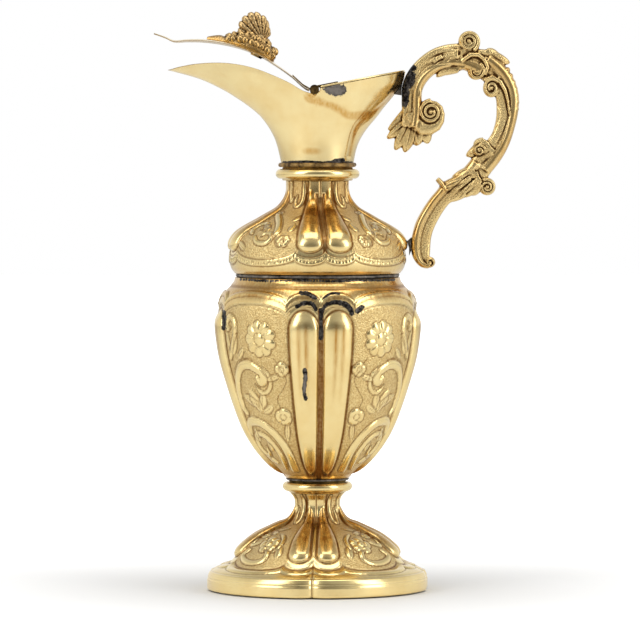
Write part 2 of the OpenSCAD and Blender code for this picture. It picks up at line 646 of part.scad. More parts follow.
// Frame of the screw: square to the lid at the finial
screw_x = hinge_x - finial_x;
screw_lean = atan((lip_z(screw_x - plate_t) - lip_z(screw_x + plate_t)) / (2 * plate_t));
module on_screw()
    translate([screw_x, 0, lid_under(screw_x, 0)]) rotate([0, screw_lean, 0]) children();
module screw_hole()
    on_screw() translate([0, 0, -2 * finial_base_h])
        cylinder(4 * finial_base_h, r = screw_r + screw_clearance, $fn = small_fn);

module lid()
    color(gilt) opened() difference() {
        sheet_on_lid([for (s = lid_row_shares) lid_x(s)], lid_across_shares, -plate_t, 0);
        screw_hole();
    }

moving_leaf_rows = [for (s = lid_row_shares) if (lid_x(s) > hinge_x - leaf_l) lid_x(s), hinge_x - leaf_l];
moving_leaf_across_shares = [-0.6, -0.3, 0, 0.3, 0.6];

module hinge_moving_leaf()
    color(cast_gilt) opened() difference() {
        union() {
            translate([hinge_x, 0, hinge_z]) knuckles(1);
            for (i = [1:2:knuckle_count - 1])
                translate([hinge_x - notch_r - hinge_gap, knuckle_y(i) - knuckle_l / 2,
                    lid_top(hinge_x - notch_r, 0) + seat_gap])
                    cube([notch_r + hinge_gap - tongue_start, knuckle_l, leaf_t]);
            sheet_on_lid(moving_leaf_rows, moving_leaf_across_shares, seat_gap, seat_gap + leaf_t);
        }
        translate([hinge_x, 0, hinge_z]) pin_bore();
    }

// Finial base: a cast mound of leaves and berries that follows the lid
mound_rows = 24;
mound_columns = 11;
berry_count = 5;
mound_height_shares = [[0, 0.12], [0.17, 0.34], [0.26, 0.32], [0.4, 0.68], [0.5, 0.95], [0.7, 1], [0.9, 0.95],
    [0.97, 0.72], [1, 0.3]];
mound_width_shares = [[0, 0.2], [0.25, 0.55], [0.5, 0.9], [0.75, 1], [0.93, 0.85], [1, 0.6]];
mound_start = screw_x - finial_base_shift - finial_base_l / 2;
berry_depth_share = 0.15;
function mound_rise(u, v) =
    finial_base_h * smooth(mound_height_shares, u) * sqrt(1 - v ^ 2)
    * (1 - berry_depth_share * (1 - abs(cos(180 * berry_count * u)) * abs(sin(180 * v))));

module mound()
    capped_skin([for (i = [0:mound_rows])
        let (u = i / mound_rows, x = mound_start + finial_base_l * u,
            w = finial_base_w / 2 * smooth(mound_width_shares, u))
        [for (k = [0:2 * mound_columns - 1])
            let (j = k < mound_columns ? k : 2 * mound_columns - 1 - k,
                v = 2 * j / (mound_columns - 1) - 1,
                lift = k < mound_columns ? 0 : mound_foot_t + mound_rise(u, v))
            [x, v * w, lid_top(x, v * w) + seat_gap + lift]]]);

// Slot that the shell stands in, open to the top
module shell_slot()
    on_screw() translate([0, 0, hub_rise]) {
        translate([-shell_r, -shell_t / 2 - slot_clearance, -hub_r])
            cube([2 * shell_r, shell_t + 2 * slot_clearance, shell_r]);
    }

module finial_base()
    color(cast_gilt) opened() difference() {
        mound();
        screw_hole();
        shell_slot();
    }

// Finial shell: a fan of ribs on a tang that runs down through base and lid
rib_count = 9;
fan_steps = 36;
// Rows of direction, from 0 towards the back of the jug, and the shell's radius there as a share
fan_shares = [[62, 0.3], [89, 0.48], [107, 0.74], [120, 0.86], [132, 0.97], [150, 1], [165, 0.97],
    [180, 0.88],
    [190, 0.78]];
fan_ring_shares = [0.35, 0.55, 0.75, 0.93, 1];
fan_start = fan_shares[0][0];
fan_end = fan_shares[len(fan_shares) - 1][0];
rib_depth_share = 0.07;
rib_relief_share = 0.28;
// Rows of the shell's thickness as a share, along its radius
fan_thickness_shares = [[0, 0.35], [0.35, 0.864], [0.55, 0.988], [0.75, 0.988], [0.93, 0.883], [1, 0.814]];
function between_ribs(t) = abs(sin(180 * rib_count * t));
function fan_radius(t) =
    shell_r * smooth(fan_shares, mix(fan_start, fan_end, t)) * (1 - rib_depth_share * between_ribs(t));
function fan_half_t(t, s) =
    shell_t / 2 * smooth(fan_thickness_shares, s) * (1 - rib_relief_share * between_ribs(t));

module fan()
    capped_skin([for (i = [0:fan_steps])
        let (t = i / fan_steps, a = mix(fan_start, fan_end, t), n = len(fan_ring_shares))
        [for (k = [0:2 * n - 1])
            let (s = fan_ring_shares[k < n ? k : 2 * n - 1 - k], r = s * fan_radius(t))
            [r * cos(a), (k < n ? -1 : 1) * fan_half_t(t, s), r * sin(a)]]]);

hub_share = 0.28;
hub_r = shell_r * hub_share / 2;
hub_rise_share = 0.74;
hub_rise = plate_t + finial_base_h * hub_rise_share;
slot_clearance = 0.15;
// How far the lid curves down below the washer's middle at a distance from the screw
function lid_fall(d) =
    cos(screw_lean)
    * (lid_under(screw_x, 0) - d * sin(screw_lean) - lid_under(screw_x + d * cos(screw_lean), 0));
washer_seat = seat_gap + max(lid_fall(washer_r), lid_fall(-washer_r));
nut_depth = washer_seat + washer_t + nut_t;

module finial_shell()
    color(cast_gilt) opened() on_screw() {
        translate([0, 0, -nut_depth]) cylinder(nut_depth + hub_rise, r = screw_r, $fn = small_fn);
        translate([0, 0, hub_rise]) fan();
        translate([0, 0, hub_rise]) sphere(hub_r, $fn = small_fn);
    }

module finial_washer()
    color(cast_gilt) opened() on_screw() translate([0, 0, -washer_seat - washer_t])
        difference() {
            cylinder(washer_t, r = washer_r, $fn = small_fn);
            translate([0, 0, -overrun])
                cylinder(washer_t + 2 * overrun, r = screw_r + screw_clearance, $fn = small_fn);
        }

module finial_nut()
    color(cast_gilt) opened() on_screw() translate([0, 0, -nut_depth])
        difference() {
            cylinder(nut_t, r = nut_r, $fn = 6);
            translate([0, 0, -overrun])
                cylinder(nut_t + 2 * overrun, r = screw_r + screw_clearance / 2, $fn = small_fn);
        }

// Handle: places on it are shares of its reach beyond the middle lines of its two seats, and of the span
// between them
handle_foot_x = shoulder_r + shoulder_gadroon_d + handle_gap + handle_t / 2;
handle_foot_share = 0.27;
handle_foot_z = shoulder_z + handle_foot_share * shoulder_h;
handle_top_x = spout_back + handle_gap + handle_t / 2 - handle_tuck;
handle_top_z = back_z(spout_back);
handle_span = handle_top_z - handle_foot_z;
scroll_reach = handle_reach - handle_t / 2;
function on_handle(out_share, up_share) =
    [mix(handle_foot_x, handle_top_x, up_share) + out_share * scroll_reach, 0,
        handle_foot_z + up_share * handle_span];

// Rows of out share, up share, and half the width of the scroll as a share of the handle's thickness,
// from the leaf under the spout over the crest and down to the foot of the handle
upper_scroll_shares = [[-0.051, 0.685, 0.45], [-0.027, 0.764, 0.48], [-0.018, 0.843, 0.5],
    [-0.004, 0.91, 0.52], [0.054, 0.975, 0.54], [0.157, 1.034, 0.56], [0.286, 1.073, 0.6], [0.445, 1.087, 0.62],
    [0.58, 1.067, 0.62], [0.706, 1.034, 0.65], [0.811, 0.983, 0.65], [0.885, 0.921, 0.62],
    [0.92, 0.854, 0.58], [0.913, 0.772, 0.54], [0.885, 0.697, 0.5], [0.843, 0.629, 0.5],
    [0.785, 0.573, 0.55], [0.713, 0.522, 0.6], [0.625, 0.462, 0.6]];
lower_scroll_shares = [[0.539, 0.404, 0.62], [0.408, 0.348, 0.6], [0.309, 0.32, 0.57],
    [0.247, 0.292, 0.46], [0.182, 0.25, 0.46],
    [0.111, 0.191, 0.47], [0.051, 0.129, 0.48], [0.018, 0.073, 0.48], [0.002, 0.022, 0.49],
    [0.002, -0.034, 0.45], [0.028, -0.073, 0.35], [0.087, -0.09, 0.25]];
scroll_shares = concat(upper_scroll_shares, lower_scroll_shares);
joint_row = len(upper_scroll_shares) - 1;
scroll_last = len(scroll_shares) - 1;
scroll_section_n = 12;
scroll_section_power = 0.6;
scroll_probe_share = 0.1;

scroll_table = numbered([for (s = scroll_shares) [each on_handle(s[0], s[1]), s[2] * handle_t]]);
function scroll_course(p) =
    let (a = smooth(scroll_table, max(p - scroll_probe_share, 0)),
        b = smooth(scroll_table, min(p + scroll_probe_share, scroll_last)), d = [b[0] - a[0], b[2] - a[2]])
    d / norm(d);
// Point beside the middle line of the scroll, in its plane
function beside_scroll(p, out) =
    let (o = smooth(scroll_table, p), t = scroll_course(p)) [o[0] + t[1] * out, o[2] - t[0] * out];

module scroll(first, last)
    capped_skin([for (p = [first:0.5:last])
        [for (i = [0:scroll_section_n - 1])
            let (c = cos(360 * i / scroll_section_n), s = sin(360 * i / scroll_section_n),
                half_w = smooth(scroll_table, p)[3],
                q = beside_scroll(p, half_w * sign(c) * abs(c) ^ scroll_section_power))
            [q[0], handle_t / 2 * sign(s) * abs(s) ^ scroll_section_power, q[1]]]]);

// Where the two castings of the handle meet, on a plane that dips away from the jug
joint_dip_angle = 8.6;
casting_l = 2 * handle_reach;
module beyond_joint(side)
    translate(on_handle(scroll_shares[joint_row][0], scroll_shares[joint_row][1]))
        rotate([0, joint_dip_angle, 0])
            translate([0, 0, side * casting_l / 2]) cube(casting_l, center = true);

volute_turns = 1.6;
volute_eye_share = 0.28;
volute_ridge_share = 0.2;
volute_steps = 26;
volute_web_share = 0.86;
volute_eye_t_share = 1.08;

// Places of the volutes, and directions of the outer ends of their coils
inner_volute_shares = [0.164, 0.775];
inner_volute_angle = 180;
crest_volute_shares = [0.572, 1.172];
crest_volute_angle = 240;
under_volute_shares = [0.628, 1.002];
back_volute_shares = [0.796, 0.902];
back_volute_angle = 60;
joint_volute_shares = [0.646, 0.56];
joint_volute_angle = 20;
tail_volute_shares = [0.701, 0.358];
tail_volute_angle = 150;
end_volute_shares = [0.111, -0.077];
end_volute_angle = 200;

// A coiled end, with a raised spiral on both sides; hand is 1 where the coil runs anticlockwise
module volute(shares, r, start_angle, hand) {
    function coil(i, w) =
        let (t = i / volute_steps, a = start_angle + hand * 360 * volute_turns * t,
            d = r * mix(1, volute_eye_share, t) - w)
        d * [cos(a), sin(a)];
    translate(on_handle(shares[0], shares[1])) rotate([90, 0, 0]) {
        cylinder(handle_t * volute_web_share, r = r * (1 - volute_ridge_share / 3), center = true,
            $fn = small_fn);
        cylinder(handle_t * volute_eye_t_share, r = r * volute_eye_share, center = true, $fn = small_fn);
        linear_extrude(handle_t, center = true)
            polygon([for (i = [0:volute_steps]) coil(i, 0),
                for (i = [volute_steps:-1:0]) coil(i, r * volute_ridge_share)]);
    }
}

// Leaves that wrap the scrolls, cut to their lobed outlines of out share and up share
bottom_leaf_shares = [[-0.131, 0.747], [-0.212, 0.702], [-0.215, 0.663], [-0.285, 0.611], [-0.174, 0.596],
    [-0.187, 0.56], [-0.099, 0.543], [0.01, 0.576], [0.158, 0.585], [0.137, 0.646], [0.236, 0.669],
    [0.307, 0.721], [0.154, 0.76], [-0.031, 0.8]];
crest_leaf_shares = [[0.658, 1.067], [0.82, 0.983], [0.935, 0.787], [1.028, 0.77], [1.041, 0.826],
    [1.031, 0.899], [0.996, 0.972], [0.94, 1.024], [0.986, 1.047], [0.727, 1.121], [0.631, 1.126]];
joint_leaf_shares = [[0.493, 0.44], [0.472, 0.48], [0.469, 0.522], [0.596, 0.528], [0.762, 0.506],
    [0.689, 0.42]];
lower_leaf_shares = [[0.23, 0.384], [0.217, 0.352], [0.294, 0.261], [0.368, 0.258], [0.443, 0.307],
    [0.505, 0.303], [0.552, 0.322], [0.656, 0.382], [0.679, 0.46], [0.494, 0.46], [0.365, 0.421]];
leaf_t_share = 0.8;
wrap_t_share = 1.06;

module leaf(outline_shares, t)
    rotate([90, 0, 0]) linear_extrude(t, center = true)
        polygon([for (s = outline_shares) let (p = on_handle(s[0], s[1])) [p[0], p[2]]]);

module handle_upper_scroll()
    color(cast_gilt) difference() {
        union() {
            scroll(0, joint_row + 1);
            volute(inner_volute_shares, inner_volute_r, inner_volute_angle, 1);
            volute(crest_volute_shares, crest_volute_r, crest_volute_angle, -1);
            volute(under_volute_shares, back_volute_r, back_volute_angle, -1);
            volute(back_volute_shares, back_volute_r, back_volute_angle, 1);
            volute(joint_volute_shares, small_volute_r, joint_volute_angle, 1);
            leaf(bottom_leaf_shares, handle_t * leaf_t_share);
            leaf(crest_leaf_shares, handle_t * leaf_t_share);
            leaf(joint_leaf_shares, handle_t * wrap_t_share);
        }
        beyond_joint(-1);
    }

module handle_lower_scroll()
    color(cast_gilt) difference() {
        union() {
            scroll(joint_row - 1, scroll_last);
            volute(tail_volute_shares, tail_volute_r, tail_volute_angle, -1);
            volute(end_volute_shares, small_volute_r, end_volute_angle, 1);
            leaf(lower_leaf_shares, handle_t * wrap_t_share);
        }
        beyond_joint(1);
    }

// Solder between the handle and the vessel: blocks that follow the vessel on one side and the scroll on
// the other, over these shares of the spout's height and these rows of the shoulder and of the scroll
top_solder_spout_shares = [0.76, 0.82, 0.88];
top_solder_rows = [3, 2.7, 2.3];
foot_solder_shoulder_rows = [3, 4, 5];
foot_solder_rows = [26.4, 27, 27.6];

function scroll_face(p, side) = beside_scroll(p, side * (smooth(scroll_table, p)[3] + seat_gap));

module solder_block(vessel_side, handle_side)
    color(solder_grey) rotate([90, 0, 0]) linear_extrude(handle_solder_w, center = true)
        polygon([for (q = vessel_side) q + [seat_gap, 0], each handle_side]);

module handle_top_solder()
    solder_block([for (v = top_solder_spout_shares) let (q = spout_point(0, v)) [q[0], q[2]]],
        [for (p = top_solder_rows) scroll_face(p, -1)]);

module handle_foot_solder()
    solder_block([for (i = foot_solder_shoulder_rows) let (o = shoulder_outline[i])
            [o[0] + o[2] * shoulder_gadroon_d, o[1]]],
        [for (p = foot_solder_rows) scroll_face(p, 1)]);

foot_band();
foot_dome();
stem_collar();
base_solder();
body();
shoulder_solder();
shoulder();
neck_collar();
neck_solder();
spout();
rear_cover();
hinge_fixed_leaf();
hinge_moving_leaf();
hinge_pin();
lid();
finial_base();
finial_shell();
finial_washer();
finial_nut();
handle_upper_scroll();
handle_lower_scroll();
handle_top_solder();
handle_foot_solder();
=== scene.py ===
import math
import bpy
import numpy as np
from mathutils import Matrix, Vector


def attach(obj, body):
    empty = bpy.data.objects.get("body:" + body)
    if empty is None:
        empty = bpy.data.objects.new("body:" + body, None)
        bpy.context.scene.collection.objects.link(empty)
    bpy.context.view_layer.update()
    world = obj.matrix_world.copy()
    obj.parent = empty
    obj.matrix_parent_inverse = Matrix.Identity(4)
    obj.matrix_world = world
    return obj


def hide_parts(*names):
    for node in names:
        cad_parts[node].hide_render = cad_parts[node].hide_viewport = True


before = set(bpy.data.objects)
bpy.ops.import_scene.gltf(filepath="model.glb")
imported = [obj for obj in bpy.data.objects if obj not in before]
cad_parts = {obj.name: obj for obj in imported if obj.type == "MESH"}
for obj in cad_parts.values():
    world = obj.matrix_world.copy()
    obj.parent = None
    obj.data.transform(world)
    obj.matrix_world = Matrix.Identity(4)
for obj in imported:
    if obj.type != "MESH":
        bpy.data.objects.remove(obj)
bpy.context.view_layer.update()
bpy.ops.object.select_all(action="DESELECT")
mm = 0.001


# Studio: a pale table and backdrop that run to white, the camera a little above the shoulder of the
# jug at 2.3 m, and three soft lamps: one over it, one at each side.
def srgb(text):
    """A colour written as hex, turned to linear."""
    parts = [int(text[i:i + 2], 16) / 255 for i in (1, 3, 5)]
    return [c / 12.92 if c <= 0.04045 else ((c + 0.055) / 1.055) ** 2.4 for c in parts] + [1]


def add(tree, kind, settings=None, **links):
    """Adds one node: settings are its attributes, links its sockets' values or what they are joined to."""
    made = tree.nodes.new(kind)
    for key, value in (settings or {}).items():
        setattr(made, key, value)
    for key, value in links.items():
        numbered = key[0] == "i" and key[1:].isdigit()
        socket = made.inputs[int(key[1:]) if numbered else key.replace("_", " ")]
        if isinstance(value, bpy.types.NodeSocket):
            tree.links.new(value, socket)
        else:
            socket.default_value = value
    return made


def new_material(name):
    material = bpy.data.materials.new(name)
    material.use_nodes = True
    material.node_tree.nodes.clear()
    return material, material.node_tree


def ramp(tree, value, low, high, to_low=0.0, to_high=1.0, kind="LINEAR"):
    """Stretches a value from one range to another and holds it at the ends."""
    return add(tree, "ShaderNodeMapRange", {"interpolation_type": kind}, Value=value, From_Min=low,
               From_Max=high, To_Min=to_low, To_Max=to_high).outputs[0]


def times(tree, value, factor, plus=0.0):
    """A value times a factor, plus another value."""
    return add(tree, "ShaderNodeMath", {"operation": "MULTIPLY_ADD"}, i0=value, i1=factor, i2=plus).outputs[0]


def blend(tree, share, first, second):
    """A mix of two colours."""
    return add(tree, "ShaderNodeMix", {"data_type": "RGBA"}, Factor=share, i6=first, i7=second).outputs[2]


scene = bpy.context.scene
scene.view_settings.view_transform = "Standard"
world = bpy.data.worlds.new("studio")
scene.world = world
world.use_nodes = True
sky = world.node_tree
sky.nodes.clear()
axes = add(sky, "ShaderNodeSeparateXYZ", Vector=add(sky, "ShaderNodeTexCoord").outputs["Generated"])
# the room behind the camera is darker than the table and the backdrop, and so is the ceiling
front = ramp(sky, axes.outputs["Y"], -1.0, -0.5, 0.24, 0.97, "SMOOTHSTEP")
side = ramp(sky, axes.outputs["Z"], 0.2, 0.95, 1.0, 0.5, "SMOOTHSTEP")
direct = add(sky, "ShaderNodeLightPath").outputs["Is Camera Ray"]
level = add(sky, "ShaderNodeMix", {"data_type": "FLOAT"}, Factor=direct, i2=times(sky, front, side), i3=1.0)
back = add(sky, "ShaderNodeBackground", Color=(1, 1, 1, 1), Strength=level.outputs[0])
add(sky, "ShaderNodeOutputWorld", Surface=back.outputs[0])

bpy.ops.mesh.primitive_plane_add(size=8, location=(0, 1.6, -0.0006))
table = bpy.context.object
table.name = "table"
bpy.ops.object.mode_set(mode="EDIT")
bpy.ops.mesh.subdivide(number_cuts=1)
bpy.ops.object.mode_set(mode="OBJECT")
paper, tree = new_material("white_paper_sweep")
# exposed so that the shadow of the foot shows, while the metal still mirrors clean white paper
direct = add(tree, "ShaderNodeLightPath").outputs["Is Camera Ray"]
white = blend(tree, direct, srgb("#F7F6F4"), srgb("#E3E3E2"))
sheen = add(tree, "ShaderNodeBsdfPrincipled", Base_Color=white, Roughness=0.62)
# the paper takes more light further back, so it fades into the white behind it
spot = add(tree, "ShaderNodeNewGeometry").outputs["Position"]
away = add(tree, "ShaderNodeVectorMath", {"operation": "LENGTH"}, i0=spot).outputs["Value"]
lift = ramp(tree, away, 0.06, 0.5, 0.0, 0.9)
glow = add(tree, "ShaderNodeEmission", Color=(1, 1, 1, 1), Strength=times(tree, lift, direct))
both = add(tree, "ShaderNodeAddShader", i0=sheen.outputs[0], i1=glow.outputs[0])
add(tree, "ShaderNodeOutputMaterial", Surface=both.outputs[0])
table.data.materials.append(paper)

for name, place, aim, size, watts in (
        ("softbox_left", (-0.95, -0.75, 0.85), (0, 0, 0.14), (0.6, 1.2), 5.8),
        ("softbox_right", (1.05, -0.6, 0.65), (0, 0, 0.14), (0.55, 1.2), 5.3),
        ("softbox_top", (0.0, -0.15, 1.35), (0, 0, 0.12), (1.1, 0.7), 5.8)):
    bpy.ops.object.light_add(type="AREA", location=place)
    lamp = bpy.context.object
    lamp.name = name
    lamp.data.shape = "RECTANGLE"
    lamp.data.size, lamp.data.size_y = size
    lamp.data.energy = watts
    lamp.rotation_euler = (Vector(aim) - Vector(place)).to_track_quat("-Z", "Y").to_euler()

aim = Vector((0.00125, 0, 0.1345))
film_mm, view_degrees = 36, 7.86
bpy.ops.object.camera_add(location=(0.00125, -2.33, 0.222))
camera = bpy.context.object
camera.rotation_euler = (aim - camera.location).to_track_quat("-Z", "Y").to_euler()
camera.data.sensor_width = film_mm
camera.data.lens = film_mm / (2 * math.tan(math.radians(view_degrees) / 2))
scene.camera = camera
bpy.ops.object.select_all(action="DESELECT")


# Foot: a dome of copper sheet, raised over a stake and chased from the front, with an upright band
# bent round its edge. Four pairs of gadroons run up it between matted panels of flowers and scrolls.
def smooth(rows, p):
    """Value of a table of [place, value, ...] rows at places p, on a curve through the rows."""
    rows = np.array(rows, float)
    x, y = rows[:, 0], rows[:, 1:]
    slope = np.empty_like(y)
    slope[1:-1] = (y[2:] - y[:-2]) / (x[2:] - x[:-2])[:, None]
    slope[0], slope[-1] = (y[1] - y[0]) / (x[1] - x[0]), (y[-1] - y[-2]) / (x[-1] - x[-2])
    p = np.asarray(p, float)
    i = np.clip(np.searchsorted(x, p, side="right") - 1, 0, len(x) - 2)
    h = (x[i + 1] - x[i])[..., None]
    u = (p - x[i])[..., None] / h
    out = ((1 + 2 * u) * (1 - u) ** 2 * y[i] + u * (1 - u) ** 2 * h * slope[i]
           + u ** 2 * (3 - 2 * u) * y[i + 1] + u ** 2 * (u - 1) * h * slope[i + 1])
    return out[..., 0] if out.shape[-1] == 1 else out


def through(points, count):
    """Places along a smooth line through the points."""
    return smooth([[i, *p] for i, p in enumerate(points)], np.linspace(0, len(points) - 1, count))


def unit(vectors):
    return vectors / np.linalg.norm(vectors, axis=-1)[..., None]


def run_along(line):
    """Length of an outline up to each of its points, in mm."""
    return np.r_[0, np.cumsum(np.linalg.norm(np.diff(line[:, :2], axis=0), axis=1))]


def even_steps(points, step):
    """The same open line with its points a set distance apart, in mm."""
    points = np.array(points, float)
    run = run_along(points)
    at = np.linspace(0, run[-1], max(int(round(run[-1] / step)), 1) + 1)
    return np.stack([np.interp(at, run, points[:, k]) for k in range(points.shape[1])], 1)


def weld():
    """Joins the points that meet in the active mesh, turns its faces outwards and smooths them."""
    bpy.ops.object.mode_set(mode="EDIT")
    bpy.ops.mesh.select_all(action="SELECT")
    bpy.ops.mesh.remove_doubles(threshold=1e-6)
    bpy.ops.mesh.normals_make_consistent(inside=False)
    bpy.ops.object.mode_set(mode="OBJECT")
    bpy.ops.object.shade_smooth()


def turned(name, outline, steps):
    """Draws the outline (radius, height in mm) point by point from one vertex and spins it round the axis."""
    bpy.ops.mesh.primitive_plane_add(size=mm)
    piece = bpy.context.object
    piece.name = piece.data.name = name
    bpy.ops.object.mode_set(mode="EDIT")
    bpy.ops.mesh.merge(type="CENTER")
    bpy.ops.transform.translate(value=(outline[0][0] * mm, 0, outline[0][1] * mm))
    for a, b in zip(outline[:-1], outline[1:]):
        bpy.ops.mesh.extrude_region_move(
            TRANSFORM_OT_translate={"value": ((b[0] - a[0]) * mm, 0, (b[1] - a[1]) * mm)})
    bpy.ops.object.mode_set(mode="OBJECT")
    spin = piece.modifiers.new("spin", "SCREW")
    spin.steps = spin.render_steps = steps
    spin.use_merge_vertices = True
    spin.merge_threshold = 1e-6
    bpy.ops.object.modifier_apply(modifier="spin")
    weld()
    return piece


def points_of(piece):
    co = np.empty(len(piece.data.vertices) * 3)
    piece.data.vertices.foreach_get("co", co)
    return co.reshape(-1, 3) / mm


def put_points(piece, co, **masks):
    """Moves the vertices, and keeps each mask, from 0 to 1, as an attribute for the material."""
    piece.data.vertices.foreach_set("co", (co * mm).astype(np.float32).ravel())
    for key, value in masks.items():
        layer = piece.data.attributes.new(key, "FLOAT", "POINT")
        values = np.broadcast_to(np.clip(value, 0, 1), len(co))
        layer.data.foreach_set("value", values.astype(np.float32))
    piece.data.update()


def shell_places(co, outline, turn):
    """For each vertex of a spun shell: the index of its outline point, its angle from the nearest of the
    front and back pairs of gadroons, 0 to 90, and its own angle on the turned piece."""
    r = np.hypot(co[:, 0], co[:, 1])
    near = np.empty(len(co), int)
    batch = 20000
    for i in range(0, len(co), batch):
        some = slice(i, i + batch)
        d = (r[some, None] - outline[None, :, 0]) ** 2 + (co[some, 2, None] - outline[None, :, 1]) ** 2
        near[some] = d.argmin(1)
    angle = np.degrees(np.arctan2(co[:, 1], co[:, 0]))
    q = np.abs((angle + 180) % 180 - 90)
    return near, q, np.radians(angle + turn)


def directions(line):
    """Unit directions along a line of places in a plane."""
    return unit(np.gradient(line, axis=0))


def course(points):
    """A drawn line of (angle, height) points, made smooth."""
    return through(points, (len(points) - 1) * 10 + 1)


def ridge(distance, width):
    """1 where the distance is 0, falling away over the width."""
    return np.exp(-(distance / width) ** 2)


def onset(distance, sharpness=4):
    """Runs from 0 to 1 as the distance passes 0."""
    return 1 / (1 + np.exp(-distance * sharpness))


def bead(distance, half_w):
    """The height of a half-round moulding, as a share of its full height."""
    return np.sqrt(np.clip(1 - (distance / half_w) ** 2, 0, 1))


def far_from(line, q, t, r):
    """Distance in mm of each place from a drawn line, and the share along the line."""
    k = np.radians(1) * r
    best = np.full(q.shape, 1e9)
    along = np.zeros(q.shape)
    for i, (a, b) in enumerate(zip(line[:-1], line[1:])):
        ax, ay, bx, by = a[0] * k, a[1], b[0] * k, b[1]
        dx, dy = bx - ax, by - ay
        px, py = q * k - ax, t - ay
        u = np.clip((px * dx + py * dy) / (dx * dx + dy * dy + 1e-9), 0, 1)
        d = np.hypot(px - u * dx, py - u * dy)
        closer = d < best
        best = np.where(closer, d, best)
        along = np.where(closer, (i + u) / (len(line) - 1), along)
    return best, along


class Chasing:
    """Ornament on one panel: height in mm over the ground, how polished it is and how dark its lines are."""

    def __init__(self, q, t, r):
        self.q, self.t, self.r = q, t, r
        self.height, self.bright, self.line = np.zeros((3, *q.shape))

    def outline(self, d, width=0.45, depth=0.22):
        """A chased line where the distance d is 0."""
        mark = ridge(d, width)
        self.height -= depth * mark
        self.line = np.maximum(self.line, mark)

    def lay(self, inside, height):
        """Raises the metal to a height at the places inside, and polishes it there."""
        self.height = np.where(inside, np.maximum(self.height, height), self.height)
        self.bright = np.where(inside, 1, self.bright)

    def beside(self, q0, t0):
        """Places in mm from a point of the panel, along the ring and up the outline."""
        return (self.q - q0) * np.radians(1) * self.r, self.t - t0

    def band(self, points, half_w, rise, ends=(0.5, 0.25)):
        """A raised, rounded band along a line, tapering to its ends, with a chased line on each side."""
        d, along = far_from(course(points), self.q, self.t, self.r)
        w = half_w * np.minimum(1, np.minimum(ends[0] + along * 5, ends[1] + (1 - along) * 4))
        s = np.clip(1 - (d / w) ** 2, 0, 1)
        self.height = np.maximum(self.height, rise * np.sqrt(s))
        self.bright = np.maximum(self.bright, s > 0.02)
        self.outline(d - w - 0.25)

    def stroke(self, points, width=0.4, depth=0.25):
        """A plain chased line."""
        self.outline(far_from(course(points), self.q, self.t, self.r)[0], width, depth)

    def flower(self, q0, t0, size, petals, rise):
        """A flower of rounded petals round a raised disc."""
        x, y = self.beside(q0, t0)
        rho, phi = np.hypot(x, y), np.arctan2(y, x)
        lobe = np.abs(np.cos(petals * phi / 2))
        edge = size * (0.8 + 0.2 * lobe ** 0.6)
        petal = rise * (0.35 + 0.65 * lobe ** 0.7) * np.sin(np.clip(rho / edge, 0, 1) * math.pi) ** 0.4
        disc_r = 0.36 * size
        self.lay(rho < edge, np.where(rho < disc_r, rise * 1.25 * bead(rho, disc_r), petal))
        self.outline(rho - edge - 0.2, 0.5, 0.3)
        self.outline(rho - disc_r, 0.35, 0.25)
        between = (1 - lobe) ** 6 * (rho > disc_r) * (rho < edge)
        self.height -= 0.25 * between
        self.line = np.maximum(self.line, 0.7 * between)

    def leaf(self, q0, t0, length, width, lean, rise):
        """A pointed leaf with a midrib."""
        x, y = self.beside(q0, t0)
        c, s = math.cos(math.radians(lean)), math.sin(math.radians(lean))
        u, v = (x * c + y * s) / length, (-x * s + y * c) / width
        half = np.sqrt(np.clip(u, 0, 1)) * np.clip(1 - u, 0, 1) ** 0.6 * 1.55
        body = 1 - np.abs(v) / np.clip(half, 1e-3, None)
        self.lay((body > 0) & (u > 0) & (u < 1), rise * np.clip(body, 0, 1) ** 0.5)
        self.outline(np.where((u > -0.05) & (u < 1.05), np.abs(body) * width * 0.5, 9), 0.4, 0.2)
        self.outline(np.where((u > 0) & (u < 0.85), np.abs(v) * width, 9), 0.25, 0.15)

    def leaves(self, *rows):
        for row in rows:
            self.leaf(*row)


def chase(piece, outline, outer, turn, pattern, cusp=None):
    """Lays a pattern on the outer side of a spun shell. Places that repeat are worked out only once."""
    co = points_of(piece)
    near, q, angle = shell_places(co, outline, turn)
    along = directions(outline[:outer, :2])
    run = run_along(outline[:outer])
    on = near < outer
    key, back = np.unique(np.round(q[on] * 50).astype(int) * 10000 + near[on], return_inverse=True)
    uq, ui = (key // 10000) / 50, key % 10000
    height, *kept = pattern(uq, run[ui], outline[ui, 0], outline[ui, 2])
    r, z = outline[near, 0].copy(), outline[near, 1].copy()
    # outwards is to the right of an outline that runs upwards
    r[on] += along[near[on], 1] * height[back]
    z[on] -= along[near[on], 0] * height[back]
    if cusp is not None:
        r -= cusp(q, z)
    masks = {key: np.zeros(len(co)) for key in ("matt", "recess", "tarnish")}
    for mask, value in zip(masks.values(), kept):
        mask[on] = value[back]
    put_points(piece, np.stack([r * np.cos(angle), r * np.sin(angle), z], 1), **masks)


def off_pair(q):
    """Angle from the nearest pair of gadroons."""
    return np.minimum(q, 90 - q)


def gadroons(q, t, r, rise, low, low_end, high, high_end, groove, spread):
    """A pair of long rounded ribs: rise over the shell and how near each place is to their edge in mm."""
    p = off_pair(q)
    k = np.radians(1) * np.maximum(r, 1)
    inner = groove / k
    outer = spread(t)
    mid = (inner + outer) / 2
    half = np.maximum(outer - inner, 0.02) / 2
    s = (p - mid) / half
    end = np.where(t > high, (t - high) / high_end, np.where(t < low, (low - t) / low_end, 0))
    d = np.sqrt(s ** 2 + end ** 2)
    rib = np.clip(1 - d ** 2, 0, 1)
    return rise * rib ** 0.5, (d - 1) * np.minimum(half * k, 8)


